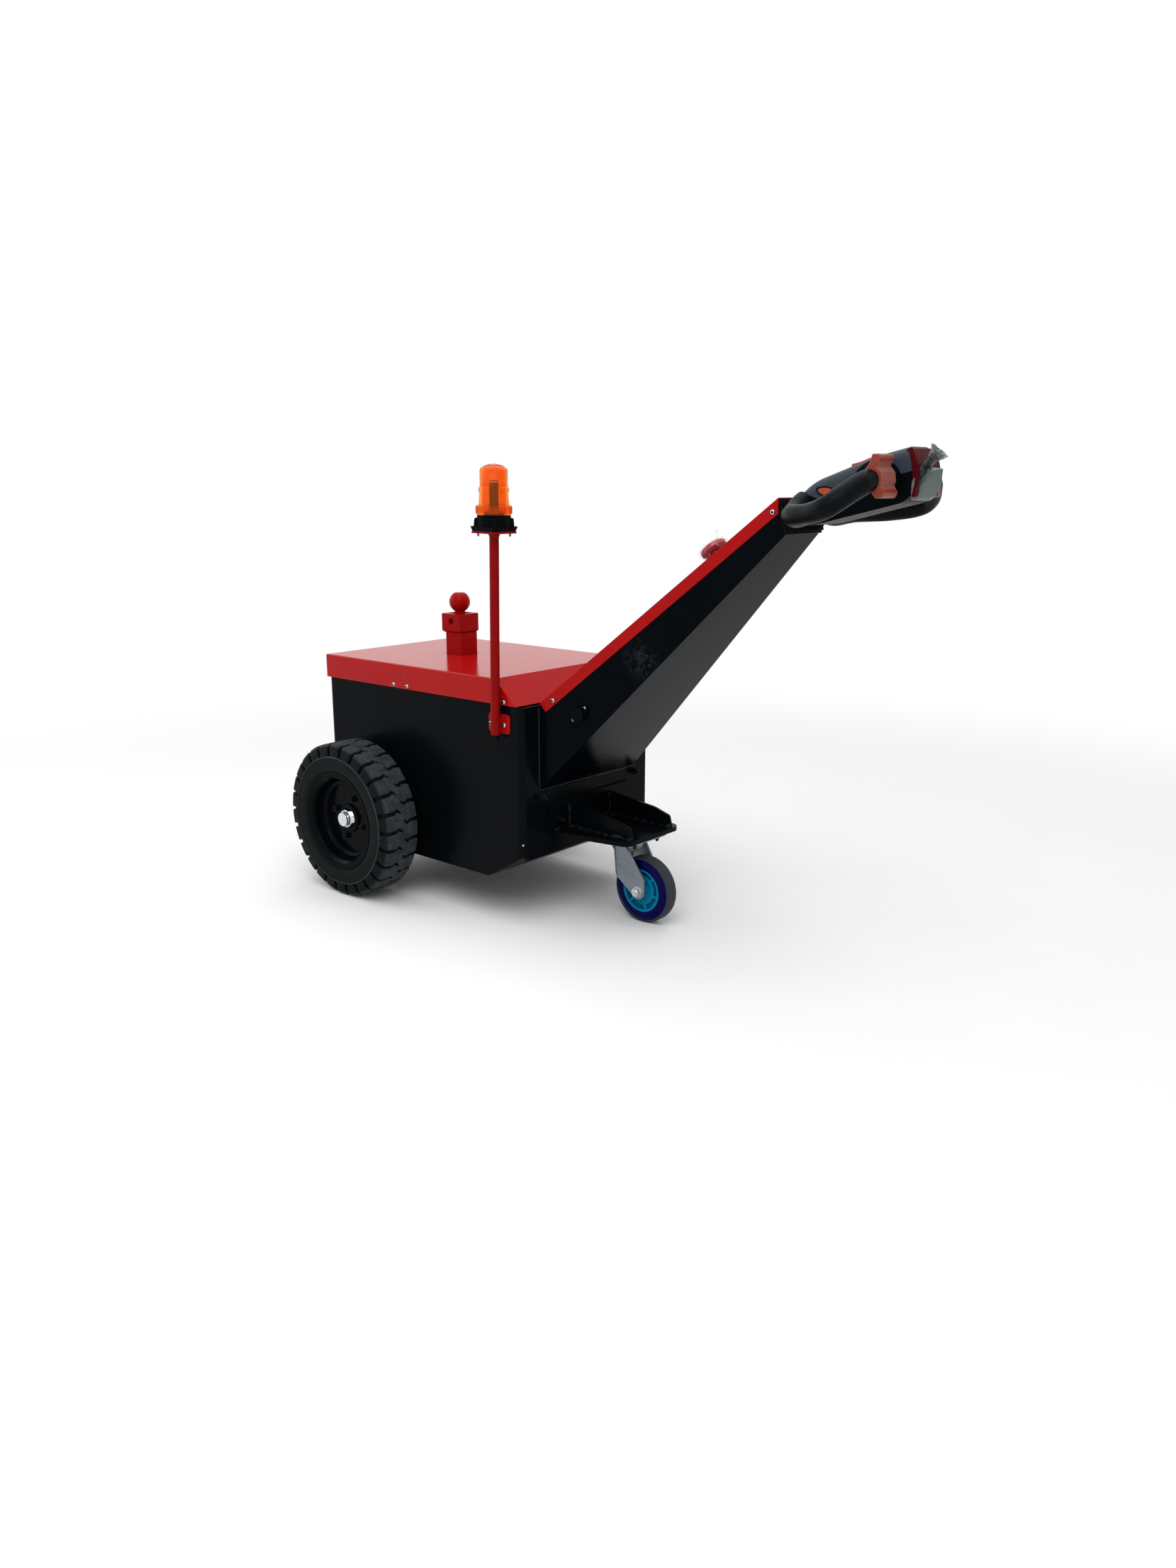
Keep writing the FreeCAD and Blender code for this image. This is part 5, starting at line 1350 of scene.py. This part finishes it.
@dataclass
class Studio:
    """Camera, plain floor, white surroundings and soft lamps."""

    camera_at: tuple[float, float, float] = (1.66330, -1.99055, 0.95142)
    camera_turn: tuple[float, float, float] = (75.816, 0.0, 40.822)
    lens: float = 36.484
    sensor: float = 36.0
    aim_z: float = 0.4
    floor_r: float = 7.0
    floor_tone: str = "#F4F4F4"
    floor_speck: str = "#EFEFEF"
    floor_speck_mm: float = 300.0
    floor_fade: tuple[float, float] = (1.1, 3.2)
    world_light: float = 0.55

    def build(self) -> None:
        """Sets the whole stage."""
        self.place_camera()
        self.light_world()
        self.lay_floor()
        self.hang_lamp("key_softbox", (1.4, -2.2, 3.2), 2.6, 62)
        self.hang_lamp("top_softbox", (-0.3, 0.3, 3.6), 3.4, 60)
        self.hang_lamp("fill_softbox", (-2.8, -1.6, 1.8), 2.0, 22)
        bpy.context.scene.view_settings.view_transform = "Standard"

    def place_camera(self) -> None:
        """Makes the scene's camera."""
        data = bpy.data.cameras.new("camera")
        data.sensor_fit = "HORIZONTAL"
        data.sensor_width = self.sensor
        data.lens = self.lens
        camera = put_in_scene("camera", data)
        camera.location = self.camera_at
        camera.rotation_euler = [math.radians(angle) for angle in self.camera_turn]
        bpy.context.scene.camera = camera

    def hang_lamp(self, name: str, at: tuple[float, float, float], size: float, power: float) -> None:
        """Hangs a square softbox that faces the tug.

        Args:
            name: The lamp's name.
            at: Where it hangs.
            size: The softbox's side in metres.
            power: Its power in watts.
        """
        data = bpy.data.lights.new(name, "AREA")
        data.shape = "SQUARE"
        data.size = size
        data.energy = power
        lamp = put_in_scene(name, data)
        lamp.location = at
        lamp.rotation_euler = (UP * self.aim_z - Vector(at)).to_track_quat("-Z", "Y").to_euler()

    def seen(self, tree: NodeTree) -> NodeSocket:
        """One where a ray comes from the camera, a mirror or a lens, and none where it only lights.

        Args:
            tree: The nodes that it is added to.

        Returns:
            The share.
        """
        path = add_node(tree, "ShaderNodeLightPath").outputs
        direct = add_node(tree, "ShaderNodeMath", {
            "operation": "MAXIMUM", 0: path["Is Camera Ray"], 1: path["Is Glossy Ray"]})
        return add_node(tree, "ShaderNodeMath", {
            "operation": "MAXIMUM", 0: direct, 1: path["Is Transmission Ray"]}).outputs[0]

    def light_world(self) -> None:
        """White where it is seen, dimmer as light."""
        world = bpy.data.worlds.new("studio")
        tree = empty_tree(world)
        strength = add_node(tree, "ShaderNodeMapRange", {"Value": self.seen(tree), "To Min": self.world_light})
        back = add_node(tree, "ShaderNodeBackground", {"Color": (1, 1, 1, 1), "Strength": strength})
        add_node(tree, "ShaderNodeOutputWorld", {"Surface": back})
        bpy.context.scene.world = world

    def lay_floor(self) -> None:
        """A round pale floor that takes the shadow and turns white further out."""
        bm = bmesh.new()
        bmesh.ops.create_circle(bm, cap_ends=True, segments=96, radius=self.floor_r)
        mesh = bpy.data.meshes.new("floor")
        bm.to_mesh(mesh)
        bm.free()
        mesh.materials.append(self.floor_material())
        put_in_scene("floor", mesh)

    def floor_material(self) -> Material:
        """Matt pale paper near the tug and plain white glow further out.

        Returns:
            The floor's material.
        """
        material = bpy.data.materials.new("pale_studio_floor")
        tree = empty_tree(material)
        where = add_node(tree, "ShaderNodeTexCoord").outputs["Object"]
        away = add_node(tree, "ShaderNodeVectorMath", {"operation": "LENGTH", 0: where}).outputs["Value"]
        start, end = self.floor_fade
        fade = add_node(tree, "ShaderNodeMapRange", {
            "interpolation_type": "SMOOTHSTEP", "Value": away, "From Min": start, "From Max": end})
        mask = add_node(tree, "ShaderNodeMath", {"operation": "MULTIPLY", 0: fade, 1: self.seen(tree)})
        speck = add_node(tree, "ShaderNodeTexNoise", {
            "Vector": where, "Scale": per_mm(self.floor_speck_mm), "Detail": 3.0})
        tone = add_node(tree, "ShaderNodeMix", {
            "data_type": "RGBA", 0: speck, 6: linear(self.floor_tone), 7: linear(self.floor_speck)})
        matt = add_node(tree, "ShaderNodeBsdfDiffuse", {"Color": tone.outputs[2]})
        glow = add_node(tree, "ShaderNodeEmission", {"Color": (1, 1, 1, 1), "Strength": 1.0})
        mixed = add_node(tree, "ShaderNodeMixShader", {0: mask, 1: matt, 2: glow})
        add_node(tree, "ShaderNodeOutputMaterial", {"Surface": mixed})
        return material


def main() -> None:
    """Builds the looks in order and writes how large the result is."""
    logging.basicConfig(level=logging.INFO, format="%(name)s: %(message)s")
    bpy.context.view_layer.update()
    noise.seed_set(SEED)
    Studio().build()
    dress_nodes()
    for side in Side:
        DriveTyre(side).build()
        WheelScrews(side).build()
    PanelScrews().build()
    FrameBolts().build()
    WeldBeads().build()
    BeaconTrim().build()
    CasterEmboss().build()
    Wrapping().build()


if __name__ == "__main__":
    main()
